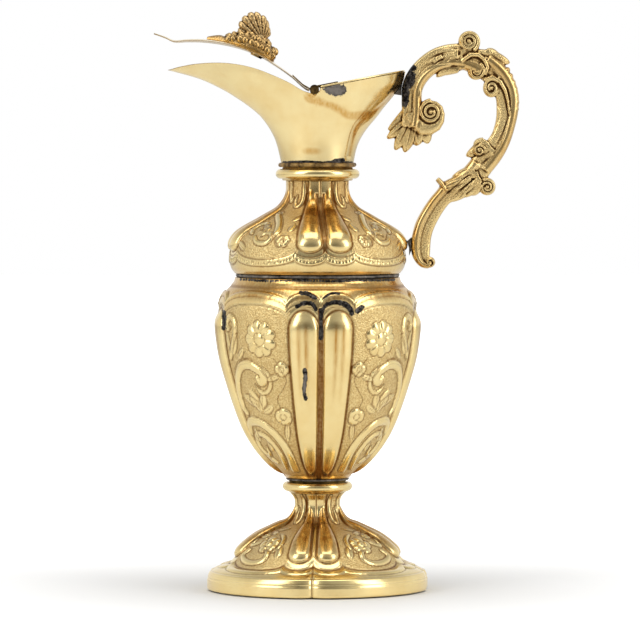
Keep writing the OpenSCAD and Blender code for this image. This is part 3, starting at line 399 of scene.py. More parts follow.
def scallop(q, arch_gadroon, arch_panel, cusp_t, power):
    """Height of a line of arches: one over each gadroon, 20 degrees wide, and one over each panel."""
    p = off_pair(q)
    over = np.where(p < 20, np.clip(1 - ((p - 10) / 10) ** 2, 0, 1), np.clip(1 - ((45 - p) / 25) ** 2, 0, 1))
    return cusp_t + np.where(p < 20, arch_gadroon, arch_panel) * over ** power


def scaled(shares, low_r, high_r, low_z, high_z):
    """Rows of radius, height and depth of the gadroons, from rows of shares of a span."""
    return [[low_r + (high_r - low_r) * a, low_z + (high_z - low_z) * b, depth] for a, b, depth in shares]


foot_band_h, foot_h, foot_r, stem_r, stem_top_r, sheet_t = 6, 48, 55.5, 11.6, 13.6, 1
foot_shares = [[1, 0, 0], [0.97, 0.06, 0], [0.885, 0.112, 0], [0.79, 0.142, 0], [0.715, 0.2, 0.8],
               [0.62, 0.315, 1], [0.45, 0.458, 1], [0.25, 0.562, 0.9], [0.08, 0.65, 0.6], [0.008, 0.775, 0.4],
               [0, 0.915, 0.2]]
foot_line = through(scaled(foot_shares, stem_r, foot_r, foot_band_h, foot_h) + [[stem_top_r, foot_h, 0]], 221)
band_line = [[foot_r - 0.5, 0.0, 0], [foot_r, 0.5, 0], [foot_r, foot_band_h - 0.9, 0],
             [foot_r - 0.35, foot_band_h - 0.15, 0]]
foot_outer = even_steps(np.vstack([band_line, foot_line[4:]]), 0.55)
foot_inner = even_steps(foot_line[::-1] - [sheet_t * 1.4, 0.6, 0], 3)
foot_outline = np.vstack([foot_outer, foot_inner[1:-1] - [0.2, 0, 0],
                          [[foot_r - sheet_t - 0.6, foot_band_h - 0.5, 0], [foot_r - sheet_t, 0, 0],
                           [foot_r - 0.5, 0.0, 0]]])
# length of the outline over the upright band, in mm
band_run = 6.3


def foot_pattern(q, t, r, depth):
    t = t - band_run
    p = off_pair(q)
    k = np.radians(1) * r
    work = Chasing(q, t, r)
    work.flower(43, 29, 6.2, 5, 0.9)
    work.flower(62, 36, 3.2, 6, 0.6)
    work.band([(60, 24), (64, 20), (56, 17), (45, 16.4), (37.5, 19), (38, 23), (42, 24.5)], 1.5, 0.8)
    work.band([(33, 24), (30, 28), (31, 33), (36, 36.5), (42, 38)], 1.1, 0.7)
    work.band([(52, 33), (58, 29), (66, 27), (68, 33)], 1.1, 0.7)
    work.leaves((27, 20, 9, 3.0, 80, 0.6), (48, 38, 9, 2.6, 20, 0.6), (60, 41, 8, 2.2, 150, 0.5))
    work.band([(34, 66), (33, 58), (37, 52), (45, 50), (50, 54), (46, 58)], 0.9, 0.5)
    work.band([(60, 66), (62, 60), (57, 56), (53, 59)], 0.8, 0.5)
    edge_t = scallop(q, arch_gadroon=-3.2, arch_panel=-4.6, cusp_t=16.6, power=0.6)
    ribs, to_rib = gadroons(q, t, r, rise=2.6, low=23, low_end=5.0, high=50, high_end=9, groove=1.3,
                            spread=lambda t: 18.6 + np.clip(t - 20, 0, 40) * 0.17)
    inside = onset(t - edge_t - 0.6) * (t < 68)
    height = work.height * inside * (to_rib > 0.6) * (p > 19)
    height = np.maximum(height, 0) + np.minimum(work.height, 0) * inside * (to_rib > 0.3)
    height += ribs * np.clip(depth * 1.3, 0, 1)
    # rolled mouldings between the band and the scalloped line
    height += 0.7 * bead(edge_t - 3.4 - t, 2.2) + 0.35 * ridge(t - 3.0, 0.6)
    lines = ridge(t - edge_t, 0.75) + ridge(to_rib - 0.3, 0.35 ** 0.5) * (t > edge_t - 1) * (t < 54)
    lines += 0.6 * ridge(t - edge_t + 5.9, 0.4) + 0.5 * ridge(t - 3.9, 0.4)
    # the grooves beside the drops run on up the stem, and a seam runs down over the rim
    up_stem = np.clip((t - 46) / 4, 0, 1) * (t < 68)
    lines += 0.9 * up_stem * (ridge(p * k, 0.5) + ridge((p - 24) * k, 0.5))
    lines += 0.8 * ridge(p * k, 0.55) * (t < edge_t)
    height -= 0.4 * np.clip(lines, 0, 1)
    matt = inside * (to_rib > 0.3) * (1 - work.bright) * (p > 18.6)
    matt = np.maximum(matt, 0.9 * (t > 51) * (t < 68) * (p > 25) * (1 - work.bright))
    recess = np.clip(0.9 * lines + 0.8 * work.line * inside * (p > 19), 0, 1)
    tarnish = 0.8 * (ribs > 0.2) * np.clip((t - 19) / 9, 0, 1) + 0.5 * np.clip((t - 34) / 14, 0, 1) * (t < 56)
    tarnish += 0.35 * ridge(t - edge_t + 1.5, 1.2)
    return height, matt, recess, tarnish


def foot_cusp(q, z):
    """The edge draws in to a notch at the middle of each side."""
    w = np.clip(1 - off_pair(q) / 9, 0, 1) ** 2
    return 2.4 * w * np.clip(1 - (z - 6) / 30, 0, 1) ** 2


foot = turned("foot_shell", foot_outline, steps=560)
chase(foot, foot_outline, len(foot_outer), turn=-3, pattern=foot_pattern, cusp=foot_cusp)
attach(foot, "ewer")
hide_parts("foot_band", "foot_dome")


def noise(tree, place, scale, detail, roughness):
    made = add(tree, "ShaderNodeTexNoise", Vector=place, Scale=scale, Detail=detail, Roughness=roughness)
    return made.outputs[0]


def metal_skin(tree, colour, rough, relief, depth, strength=1.0, metallic=1.0):
    """The metal itself, with a fine relief, its depth in mm."""
    bump = add(tree, "ShaderNodeBump", Height=relief, Distance=depth * mm, Strength=strength).outputs[0]
    metal = add(tree, "ShaderNodeBsdfPrincipled", Base_Color=colour, Metallic=metallic, Roughness=rough,
                Normal=bump)
    add(tree, "ShaderNodeOutputMaterial", Surface=metal.outputs[0])


def gilt_metal(name, polished, ground, patina, low_gloss, high_gloss, grain_mm, grain_depth, film_and_reflection_colour="#B27C2A"):
    """Fire-gilt copper: burnished where it stands proud, matted with a punch in the ground, with brown
    patina left in the chased lines, and a thin warm coat from tarnishing and from wear where it is handled,
    which also gives painted reflections of the darker room on the gadroons and the spout."""
    material, tree = new_material(name)
    place = add(tree, "ShaderNodeTexCoord").outputs["Object"]
    matt, recess, film_and_reflection_mask, smear_and_reflection, bare = [
        add(tree, "ShaderNodeAttribute", {"attribute_name": mask}).outputs["Fac"]
        for mask in ("matt", "recess", "tarnish", "flux", "lead")]
    # cloudy wear of the gilding, patches about 12 mm wide, and specks about 1.5 mm wide
    cloud = noise(tree, place, 80.0, 4.0, 0.6)
    speck = noise(tree, place, 640.0, 3.0, 0.7)
    # punched grain, drawn a little coarser than the real 0.5 mm so that it shows
    cells = add(tree, "ShaderNodeTexVoronoi", {"feature": "F1"}, Vector=place, Scale=1 / (grain_mm * mm))
    grain = cells.outputs["Distance"]
    base = blend(tree, ramp(tree, cloud, 0.35, 0.7, 0.0, 0.35), srgb(polished), srgb("#D9B26A"))
    punched = blend(tree, ramp(tree, grain, 0.1, 0.75, 0.0, 0.75), srgb(ground), srgb(polished))
    colour = blend(tree, matt, base, punched)
    # a thin warm film in upright streaks: tarnish, and painted reflections on the gadroons and the spout
    drawn = add(tree, "ShaderNodeMapping", Vector=place, Scale=(900.0, 900.0, 60.0)).outputs[0]
    streaks = ramp(tree, noise(tree, drawn, 1.0, 3.0, 0.6), 0.3, 0.65, 0.45, 1.0)
    colour = blend(tree, times(tree, film_and_reflection_mask, streaks), colour, srgb(film_and_reflection_colour))
    dirt = ramp(tree, times(tree, speck, 0.5, recess), 0.42, 1.15)
    colour = blend(tree, dirt, colour, srgb(patina))
    # smears of solder and burnt flux lie on top of the gold, and so do dark painted reflections on the
    # gadroon tops
    flux = ramp(tree, times(tree, noise(tree, place, 520.0, 6.0, 0.75), 1.3, smear_and_reflection), 0.98, 1.07)
    pale = times(tree, bare, 0.8, ramp(tree, speck, 0.42, 0.7, 0.0, 0.7))
    colour = blend(tree, flux, colour, blend(tree, pale, srgb("#1A1716"), srgb("#7A746E")))
    gloss = ramp(tree, matt, 0.0, 1.0, low_gloss, high_gloss)
    rough = times(tree, flux, 0.2, times(tree, dirt, 0.25, gloss))
    metal_skin(tree, colour, rough, times(tree, cloud, 0.25, times(tree, grain, matt)), grain_depth)
    return material


def uneven(co, amount, seed):
    """Small dents and waves of hand work, in mm."""
    rng = np.random.default_rng(seed)
    out = np.zeros(len(co))
    for wave in (38, 21, 12):
        ways = unit(rng.normal(size=(4, 3)))
        out += sum(np.sin(co @ w * (2 * math.pi / wave) + rng.uniform(0, 6.3)) for w in ways) * wave / 38
    return out * amount / 4


def gap_to(path, x, z):
    """Distance in mm, seen from the side, to a smooth line through places x, z."""
    line = through(path, 60)
    return np.min(np.hypot(x[..., None] - line[:, 0], z[..., None] - line[:, 1]), axis=-1)


def runs(co, lines):
    """Ragged runs on the near side, of solder, of burnt flux and of painted reflection: lines through places
    x, z, and their half widths.
    """
    edge = uneven(co, 1.0, 43)
    mask = np.zeros(len(co))
    for path, half_w in lines:
        gap = gap_to(path, co[:, 0], co[:, 2]) / half_w
        mask = np.maximum(mask, np.clip(0.98 - 0.5 * gap + 0.2 * edge, 0, 1))
    return mask * (co[:, 1] < 0)


def smears(co, places):
    """Patches of solder or flux on the near side, each a place x, z and a half width and height in mm."""
    edge = uneven(co, 1.0, 41)
    mask = np.zeros(len(co))
    for x, z, half_w, half_h in places:
        far = np.hypot((co[:, 0] - x) / half_w, (co[:, 2] - z) / half_h)
        mask = np.maximum(mask, np.clip(1.1 - 0.7 * far ** 1.3 + 0.25 * edge, 0, 1))
    return mask * (co[:, 1] < 0)


gilt = gilt_metal("fire_gilt_chased_copper", "#ECD79C", "#BE9A5E", "#774A1C", 0.2, 0.42, 0.75, 0.3)
foot.data.materials.append(gilt)


# Stem and neck collars: two turned rings of copper, half-round on the rim, one on top of the foot's
# stem and one on the neck. They are gilt and burnished like the mouldings beside them.
collar_round = 0.36


def collar_outline(z, h, rim, hole):
    round_r = h * collar_round
    face = rim - 1.4 * round_r
    mid = z + h / 2
    arc = [[rim - round_r + round_r * math.cos(a), mid + round_r * math.sin(a), 0]
           for a in np.radians(np.linspace(-86, 86, 21))]
    return np.array([[hole, z, 0], [face - 0.5, z, 0], [face, z + 0.25, 0],
                     [face + 0.1, mid - round_r + 0.1, 0], *arc, [face + 0.1, mid + round_r - 0.1, 0],
                     [face, z + h - 0.25, 0], [face - 0.5, z + h, 0], [hole, z + h, 0], [hole, z, 0]])


for name, node, z, h, rim, hole, seed in (("stem_ring", "stem_collar", 48, 6.5, 17.5, 8, 3),
                                          ("neck_ring", "neck_collar", 204.3, 6.7, 21, 14.8, 4)):
    ring = turned(name, collar_outline(z, h, rim, hole), steps=160)
    co = points_of(ring)
    r = np.hypot(co[:, 0], co[:, 1])
    push = uneven(co, 0.12, seed) * (r > hole + 1)
    co[:, :2] *= (1 + push / r)[:, None]
    edge = np.clip((rim - 1.15 * h * collar_round - r) / 1.5, 0, 1)
    put_points(ring, co, matt=0, recess=0.75 * edge)
    ring.data.materials.append(gilt)
    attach(ring, "ewer")
    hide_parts(node)

# Body: raised in one piece from copper sheet, an egg on a narrow foot. Four pairs of tall gadroons
# stand out from it, arches of a double moulding run round the top, and the panels are chased with a
# flower, a bud, leaves and two big scrolls over a matted ground.
body_z, seam_z, body_base_r, body_r, seam_r = 55.5, 156, 15.7, 49.6, 41.3
body_lower = [[0, 0, 0], [0.145, 0.045, 0.5], [0.325, 0.105, 0.6], [0.495, 0.184, 0.7],
              [0.643, 0.284, 0.8], [0.82, 0.463, 0.95], [0.935, 0.6, 1], [0.99, 0.72, 1], [1, 0.79, 0.85]]
body_upper = [[0.97, 0.845, 0], [0.79, 0.902, 0], [0.42, 0.947, 0], [0.09, 0.978, 0], [0, 1, 0]]
body_rows = (scaled(body_lower, body_base_r, body_r, body_z, seam_z)
             + scaled(body_upper, seam_r, body_r, body_z, seam_z))
body_line = through(body_rows, 261)
body_outer = even_steps(body_line, 0.72)
body_inner = even_steps(body_line[::-1] - [sheet_t, 0, 0], 4)
body_inner = body_inner[body_inner[:, 1] > body_z + 2]
body_outline = np.vstack([[[0, body_z, 0]], body_outer, body_inner, [[0, body_z + sheet_t, 0]]])


def body_pattern(q, t, r, depth):
    t = t - body_base_r
    p = off_pair(q)
    work = Chasing(q, t, r)
    # lower medallion: an oval scroll with a smaller scroll and leaves inside it
    work.band([(33, 8), (31, 16), (33, 24), (39, 31), (48, 36), (58, 37.5), (66, 36), (71, 31)], 2.3, 1.1,
              ends=(1, 1))
    work.band([(46, 8), (42, 14), (42, 21), (47, 27.5), (55, 30.5), (63, 29), (66, 23), (62, 18), (56, 19),
               (55, 23)], 1.5, 0.9)
    work.leaves((52, 12, 9, 3.2, 40, 0.7), (62, 26, 8, 3.0, 100, 0.6), (50, 20, 7, 2.6, 95, 0.6))
    # the large C-scroll, from its curl over the top and down the outer side
    work.band([(43, 61), (41, 58.5), (38.5, 59.5), (38.5, 62.8), (42, 65.2), (48, 67.2), (55, 66.5),
               (61, 62.5), (65.5, 56.5), (67.5, 50), (66.5, 44.5), (63, 41.5)], 2.2, 1.2, ends=(0.5, 0.5))
    work.band([(37.5, 66), (33.8, 61.5), (34, 56.5), (38, 53.2), (43, 53.6), (46, 57)], 1.0, 0.7)
    # acanthus leaf inside the scroll
    work.leaves((45, 43, 13, 4.2, 62, 0.9), (46, 46, 12, 3.6, 25, 0.8), (44, 44, 9, 3.4, 105, 0.8),
                (43, 42.5, 7, 2.8, 150, 0.7))
    # outer scroll that climbs beside the next pair of gadroons
    work.band([(66, 70), (63, 75), (59.5, 80), (57.5, 85), (59, 89.5), (63, 91), (66.5, 88.5), (65.5, 85),
               (62.5, 85.5)], 1.7, 1.0)
    work.leaves((62, 72, 12, 3.2, 112, 0.8), (66, 74, 10, 2.8, 82, 0.7), (57.5, 70, 8, 2.4, 135, 0.6))
    work.stroke([(44, 69.5), (50, 70.5), (57, 69.5), (63, 66), (68, 61)])
    # flower, bud, stem and the heart-shaped leaf
    work.flower(37.5, 80.5, 9.2, 9, 1.1)
    work.stroke([(29, 71), (25, 66), (22, 60), (25, 55), (30, 50), (29, 45)], 0.35, 0.2)
    work.flower(24.3, 65.5, 3.8, 4, 0.8)
    work.leaf(27, 62, 7, 2.2, -20, 0.5)
    work.flower(27.5, 40.5, 4.6, 3, 0.8)
    work.leaf(25, 37, 10, 2.0, -80, 0.4)
    top = scallop(q, arch_gadroon=5.6, arch_panel=6.2, cusp_t=97.2, power=0.55)
    ribs, to_rib = gadroons(q, t, r, rise=2.4, low=12, low_end=9, high=85, high_end=9.4, groove=1.35,
                            spread=lambda t: np.full(t.shape, 18.3))
    inside = ((t < top - 6.6) & (t > 3) & (to_rib > 0.4) & (p > 17.5)).astype(float)
    height = work.height * inside + ribs * np.clip(depth * 1.15, 0, 1.05)
    # the double moulding: a bead, a flat, and a small step down to the ground
    height += 0.95 * bead(t - top, 1.5) + 0.55 * onset(t - top + 5.4, 3.5) * onset(top - 1.2 - t, 3.5)
    height -= 0.35 * ridge(t - 107.2, 1.1)
    lines = 0.9 * ridge(t - top + 5.9, 0.5) + 0.85 * ridge(t - top + 1.9, 0.45)
    lines += 0.7 * ridge(t - top - 1.9, 0.5) + 0.8 * ridge(t - 107.5, 1.3)
    edge = ridge(to_rib - 0.5, 0.75) * (t < top - 2) * (t > 2)
    edge = np.maximum(edge, 0.9 * (p * np.radians(1) * r < 1.25) * (t < 96))
    height -= 0.45 * edge
    recess = np.clip(0.8 * lines + 0.9 * edge + 0.68 * work.line * inside, 0, 1)
    # painted reflection: orange-brown lines down both flanks of the gadroons stand in for the darker room
    # mirrored there; tarnish at their feet, in the mouldings and over the top of the body
    down = np.clip((t - 46) / 30, 0, 1) * np.clip((90 - t) / 5, 0, 1)
    tarnish = (ridge(p - 8.2, 1.1) + 0.8 * ridge(p - 12.4, 1.1)) * down
    tarnish += 0.85 * np.clip((np.where(p < 18, 18, 9) - t) / 7, 0, 1) + 0.75 * np.clip((t - 99.5) / 4, 0, 1)
    tarnish += 0.35 * (t > top - 5) * (t < top - 1)
    return height, inside * (1 - work.bright), recess, tarnish


body = turned("body_shell", body_outline, steps=536)
chase(body, body_outline, len(body_outer) + 1, turn=2, pattern=body_pattern)
# painted reflection: dark arcs round the tops of the front gadroons stand in for the camera mirrored there;
# burnt flux in the other runs and along the seam, and a patch of solder on the left gadroon
flux_runs = [([(-8.3, 149.5), (-4.5, 149), (-1, 147)], 0.85),
             ([(2.8, 147), (6.7, 149.2), (10.6, 149.2)], 0.5),
             ([(-10, 142.8), (-6.1, 144.7), (-2.5, 144), (-0.8, 141.6)], 1.05),
             ([(2.2, 140.4), (4.2, 143.6), (8.2, 145), (12.4, 144.4), (15.4, 142.4), (16.8, 139.4)], 0.95),
             ([(1.8, 141), (1.7, 135), (1.8, 127.6)], 1.05), ([(19.6, 140.6), (21.8, 142.2)], 1.0),
             ([(-6.2, 112), (-5.9, 107), (-6.6, 102), (-5.7, 97.4)], 0.9),
             ([(-46.5, 139), (-46.6, 131)], 1.0),
             ([(-38, 155.4), (-22, 155.1), (-8, 155.5), (9, 155.2), (22, 155.5), (38, 155.2)], 0.6)]
co = points_of(body)
put_points(body, co, flux=runs(co, flux_runs), lead=runs(co, [([(-5.9, 109), (-6.4, 101)], 0.6)]))
body.data.materials.append(gilt)
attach(body, "ewer")
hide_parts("body")

# Shoulder: raised from a second sheet, it curves in from the seam to the neck. Its gadroons stand
# over those of the body, and a punched border follows the scalloped lower edge.
shoulder_z, neck_collar_z, shoulder_r, neck_r = 158, 204.3, 43.9, 15.8
shoulder_lower = [[0, 0, 0], [0.65, 0.05, 0], [1, 0.115, 0.2]]
shoulder_upper = [[1, 0.19, 0.85], [0.985, 0.27, 1], [0.95, 0.345, 1], [0.86, 0.417, 1], [0.7, 0.482, 1],
                  [0.5, 0.548, 0.9], [0.33, 0.61, 0.8], [0.14, 0.69, 0.65], [0.03, 0.79, 0.5], [0, 0.9, 0.2],
                  [0, 1, 0]]
shoulder_rows = (scaled(shoulder_lower, seam_r, shoulder_r, shoulder_z, neck_collar_z)
                 + scaled(shoulder_upper, neck_r, shoulder_r, shoulder_z, neck_collar_z))
shoulder_line = through(shoulder_rows, 261)
shoulder_outer = even_steps(shoulder_line, 0.5)
shoulder_inner = even_steps(shoulder_line[::-1] - [sheet_t, 0, 0], 3)
shoulder_outline = np.vstack([shoulder_outer, shoulder_inner, shoulder_outer[:1]])


def shoulder_pattern(q, t, r, depth):
    p = off_pair(q)
    k = np.radians(1) * r
    work = Chasing(q, t, r)
    work.band([(37, 21), (37.5, 25), (41, 30), (47, 34.5), (55, 38), (63, 41), (69, 44)], 1.8, 1.0,
              ends=(0.6, 0.5))
    work.band([(55, 20.5), (50, 17), (43, 16.5), (39, 19), (41, 22.5), (46, 22.5), (48, 20.5)], 1.2, 0.8)
    work.band([(60, 22), (66, 25), (66, 30), (60, 32), (55, 29), (56, 26)], 1.3, 0.8)
    work.leaves((46, 25, 9, 3.0, 40, 0.7), (50, 24, 9, 2.6, 75, 0.7), (30, 14, 9, 3.4, 70, 0.7),
                (27, 24, 8, 2.4, 95, 0.6))
    work.flower(29, 18, 3.6, 6, 0.6)
    work.leaves((31, 34, 8, 2.2, 120, 0.5), (60, 13, 9, 2.6, 25, 0.6), (52, 41, 8, 2.2, 20, 0.5))
    work.band([(30, 60), (30, 53), (34, 48), (41, 47), (45, 50), (42, 53)], 1.0, 0.6)
    work.band([(58, 60), (60, 54), (56, 50), (51, 52)], 0.9, 0.6)
    low = scallop(q, arch_gadroon=-3.0, arch_panel=-3.6, cusp_t=8.4, power=0.6)
    high = scallop(q, arch_gadroon=-3.2, arch_panel=-4.4, cusp_t=12.8, power=0.6)
    ribs, to_rib = gadroons(q, t, r, rise=2.2, low=16.6, low_end=4.6, high=44, high_end=12, groove=1.3,
                            spread=lambda t: 18.3 + np.clip(t - 18, 0, 40) * 0.2)
    inside = ((t > high + 0.6) & (t < 62) & (to_rib > 0.4) & (p > 17.5)).astype(float)
    height = work.height * inside + ribs * np.clip(depth * 1.2, 0, 1)
    height += 0.4 * onset(t - low) * onset(high - t)
    dots = (np.cos(np.radians(q) * r * 2 * math.pi / 1.7) > 0.1) * (np.abs(t - (low + high) / 2) < 0.75)
    height -= 0.25 * dots
    lines = 0.95 * ridge(t - low, 0.5) + 0.95 * ridge(t - high, 0.5) + 0.55 * dots
    edge = ridge(to_rib - 0.5, 0.7) * (t > high) * (t < 54)
    edge = np.maximum(edge, 0.85 * (p * k < 1.1) * (t > high) * (t < 52))
    # the grooves beside the drops run on up the neck
    up_neck = 0.9 * np.clip((t - 46) / 4, 0, 1) * (t < 62)
    edge = np.maximum(edge, up_neck * (ridge(p * k, 0.5) + ridge((p - 22) * k, 0.5)))
    height -= 0.4 * edge + 0.25 * (lines > 0.5)
    recess = np.clip(0.85 * lines + 0.9 * edge + 0.8 * work.line * inside, 0, 1)
    # brown tarnish is left on the drops and up the neck, where polishing doesn't reach
    tarnish = 0.8 * (ribs > 0.2) * np.clip((t - 16) / 10, 0, 1) + 0.4 * np.clip((6 - t) / 3, 0, 1)
    tarnish += 0.45 * np.clip((t - 32) / 14, 0, 1) * (t < 60)
    return height, inside * (1 - work.bright), recess, tarnish


shoulder = turned("shoulder_shell", shoulder_outline, steps=560)
chase(shoulder, shoulder_outline, len(shoulder_outer), turn=5, pattern=shoulder_pattern)
shoulder.data.materials.append(gilt)
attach(shoulder, "ewer")
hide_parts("shoulder")

# Solder seams: soft solder run round the joins of foot, body, shoulder and spout. It has crept out
# unevenly and gone dark grey, with black smears of old flux.
def old_metal(name, dark, light, scale=170.0, detail=6.0, roughness=0.7, first=0.36, last=0.66,
              rough=(0.62, 0.38), depth=0.25, metallic=0.85):
    """Cloudy old metal, such as oxidised solder: dull and darker in the hollows, with brighter scrapes."""
    material, tree = new_material(name)
    cloud = noise(tree, add(tree, "ShaderNodeTexCoord").outputs["Object"], scale, detail, roughness)
    colour = blend(tree, ramp(tree, cloud, first, last), srgb(dark), srgb(light))
    metal_skin(tree, colour, ramp(tree, cloud, 0.35, 0.65, *rough), cloud, depth, 0.7, metallic)
    return material


solder = old_metal("oxidised_soft_solder", "#2E2A28", "#8D867C")
gilded_solder = old_metal("gilded_soft_solder", "#4A3620", "#C9A465")
for name, node, z, h, r_out, r_in, lump, seed in (
        ("base_bead", "base_solder", 54.5, 1.0, 15.7, 0.0, 0.35, 11),
        ("shoulder_bead", "shoulder_solder", 156, 2.0, 40.9, 39.3, 0.55, 12),
        ("neck_bead", "neck_solder", 211, 2.2, 19.4, 17.8, 0.5, 13)):
    arc = [[r_out - h / 2 + h / 2 * math.cos(a), z + h / 2 + h / 2 * math.sin(a), 0]
           for a in np.radians(np.linspace(-88, 88, 9))]
    closing = [[r_in, z, 0]] if r_in else []
    seam = turned(name, np.array([[r_in, z, 0], *arc, [r_in, z + h, 0]] + closing), steps=220)
    co = points_of(seam)
    r = np.hypot(co[:, 0], co[:, 1])
    angle = np.arctan2(co[:, 1], co[:, 0])
    rng = np.random.default_rng(seed)
    push = np.zeros(len(co))
    for k in range(3, 40):
        push += rng.normal() / k ** 0.7 * np.sin(k * angle + rng.uniform(0, 6.3) + (co[:, 2] - z) * 0.4)
    push = np.where(r > r_in + 0.5, push / 2.2 * lump, 0)
    co[:, :2] *= (1 + push / np.maximum(r, 1))[:, None]
    put_points(seam, co)
    seam.data.materials.append(gilded_solder if node == "neck_solder" else solder)
    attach(seam, "ewer")
    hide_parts(node)

# Spout: one sheet rolled to a round foot and beaten out into a long pointed lip, with a short back.
# It is burnished all over, with the soft waves of the hammer and a long crease on the near side.
spout_base_r, spout_z, hinge_x, hinge_z = 17.7, 211, -1.5, 249.5
lip_length, back_length, mouth_half_w, lip_rise = 73.5, 45.5, 30, 13.3
back_slope = math.radians(11.2)
# room round the knuckles, from the middle of the pin
hinge_gap = 2.6
front_flare = [[0, 0], [0.25, 0.05], [0.39, 0.103], [0.52, 0.183], [0.62, 0.283], [0.705, 0.385],
               [0.81, 0.535], [0.913, 0.735], [1, 1]]
back_flare = [[0, 0], [0.14, 0.046], [0.24, 0.096], [0.32, 0.167], [0.426, 0.296], [0.52, 0.435],
              [0.638, 0.6], [0.727, 0.735], [0.824, 0.88], [0.889, 0.95], [1, 1]]
lip_rows = [[0, -0.15], [0.07, -0.06], [0.17, 0.26], [0.29, 0.56], [0.4, 0.79], [0.52, 0.94], [0.65, 1],
            [0.8, 0.96], [0.91, 0.86], [1, 0.75], [1.06, 0.83], [1.14, 0.91], [1.3, 1.03]]


def lip_height(x):
    return hinge_z + lip_rise * smooth(lip_rows, (hinge_x - np.asarray(x)) / lip_length)


def back_height(x):
    return hinge_z + 0.3 + math.tan(back_slope) * (x - hinge_x)


def rim_height(x):
    return np.where(x < hinge_x, lip_height(x), back_height(x))


def rounded(value, power):
    """A sine or cosine bent towards a squarer or a sharper outline."""
    return np.sign(value) * np.abs(value) ** power


def mouth(a, front_l, back_l, half_w):
    c, s = np.cos(a), np.sin(a)
    power = np.where(c < 0, 1.35, 1.2)
    return hinge_x + np.where(c < 0, front_l, back_l) * c, half_w * rounded(s, power)


def spout_skin(a, v):
    x, y = mouth(a, lip_length, back_length, mouth_half_w)
    front = (1 - np.cos(a)) / 2
    flare = smooth(back_flare, v) * (1 - front) + smooth(front_flare, v) * front
    return np.stack([spout_base_r * np.cos(a) * (1 - flare) + x * flare,
                     spout_base_r * np.sin(a) * (1 - flare) + y * flare,
                     spout_z + (rim_height(x) - spout_z) * v], -1)


def loft(name, rings, closed_along=False, caps=True):
    """A skin over rings of points in mm that all have the same count; faces are turned outwards."""
    rings = np.asarray(rings, float)
    m, n = rings.shape[:2]
    faces = []
    for i in range(m if closed_along else m - 1):
        a, b = i * n, (i + 1) % m * n
        faces += [(a + j, a + (j + 1) % n, b + (j + 1) % n, b + j) for j in range(n)]
    if caps and not closed_along:
        faces += [tuple(range(n))[::-1], tuple(range((m - 1) * n, m * n))]
    mesh = bpy.data.meshes.new(name)
    mesh.from_pydata((rings.reshape(-1, 3) * mm).tolist(), [], faces)
    piece = bpy.data.objects.new(name, mesh)
    bpy.context.collection.objects.link(piece)
    bpy.ops.object.select_all(action="DESELECT")
    bpy.context.view_layer.objects.active = piece
    piece.select_set(True)
    weld()
    return piece


turn_a = np.radians(np.r_[np.linspace(0, 150, 110, endpoint=False), np.linspace(150, 210, 90, endpoint=False),
                          np.linspace(210, 360, 110, endpoint=False)])
levels = 1 - (1 - np.linspace(0, 1, 90)) ** 1.25
a2, v2 = np.meshgrid(turn_a, levels)
outer = spout_skin(a2, v2)
bit = 0.01
across = spout_skin(a2 + bit, v2) - spout_skin(a2 - bit, v2)
up = spout_skin(a2, np.minimum(v2 + bit, 1)) - spout_skin(a2, np.maximum(v2 - bit, 0))
normal = unit(np.cross(across, up))
wave = uneven(outer.reshape(-1, 3), 0.3, 21).reshape(a2.shape)
wave *= np.clip(v2 * 4, 0, 1) * np.clip((1 - v2) * 6, 0, 1)
# the crease runs from below the rim at the back down to the foot
crease_path = [(41.2, 256.2), (36.5, 246.5), (29, 239.2), (23, 235), (18.5, 229), (16, 217)]
band_path = [(25, 237), (15.7, 236.6), (8.6, 240.6), (-4, 245.2)]

gap = gap_to(crease_path, outer[..., 0], outer[..., 2])
crease = np.where(outer[..., 1] < 0, 0.4 * ridge(gap, 1.3), 0)
outer = outer + normal * (wave - crease)[..., None]
inner = outer - normal * sheet_t
rim_mid = (outer[-1] + inner[-1]) / 2
below = 0.3 * unit(up[-1])
outer[-1] -= below
inner[-1] -= below
top = rim_height(inner[..., 0])
inner[..., 2] = np.minimum(inner[..., 2], top - 0.25)
rim_mid[:, 2] = np.minimum(rim_mid[:, 2], top[-1])
inner[0] = outer[0] - np.stack([np.cos(turn_a), np.sin(turn_a), 0 * turn_a], 1)
rings = np.concatenate([outer, rim_mid[None], inner[::-1]])
# the rim is filed away round the hinge
aside = rings[..., 0] - hinge_x
low = hinge_z - np.sqrt(np.clip(hinge_gap ** 2 - aside ** 2, 0, None))
rings[..., 2] = np.where(np.hypot(aside, rings[..., 2] - hinge_z) < hinge_gap, low, rings[..., 2])
rings[..., 2] = np.where((np.abs(aside) < hinge_gap - 0.05) & (rings[..., 2] > hinge_z), low, rings[..., 2])
spout = loft("spout_shell", rings, closed_along=True)
spout_runs = [([(-17, 213.2), (-8, 213.5), (2, 213.1), (9, 213.6), (17, 213.3)], 0.7),
              ([(8.6, 214.2), (12.6, 214.6)], 1.1), ([(5.2, 249.4), (8.4, 248.8), (11.6, 249.2)], 1.9),
              ([(1.5, 250.8), (5, 250.8), (9, 251.4)], 0.5)]
co = points_of(spout)
inside = np.clip((spout_z + 3.2 - co[:, 2]) / 3, 0, 1)
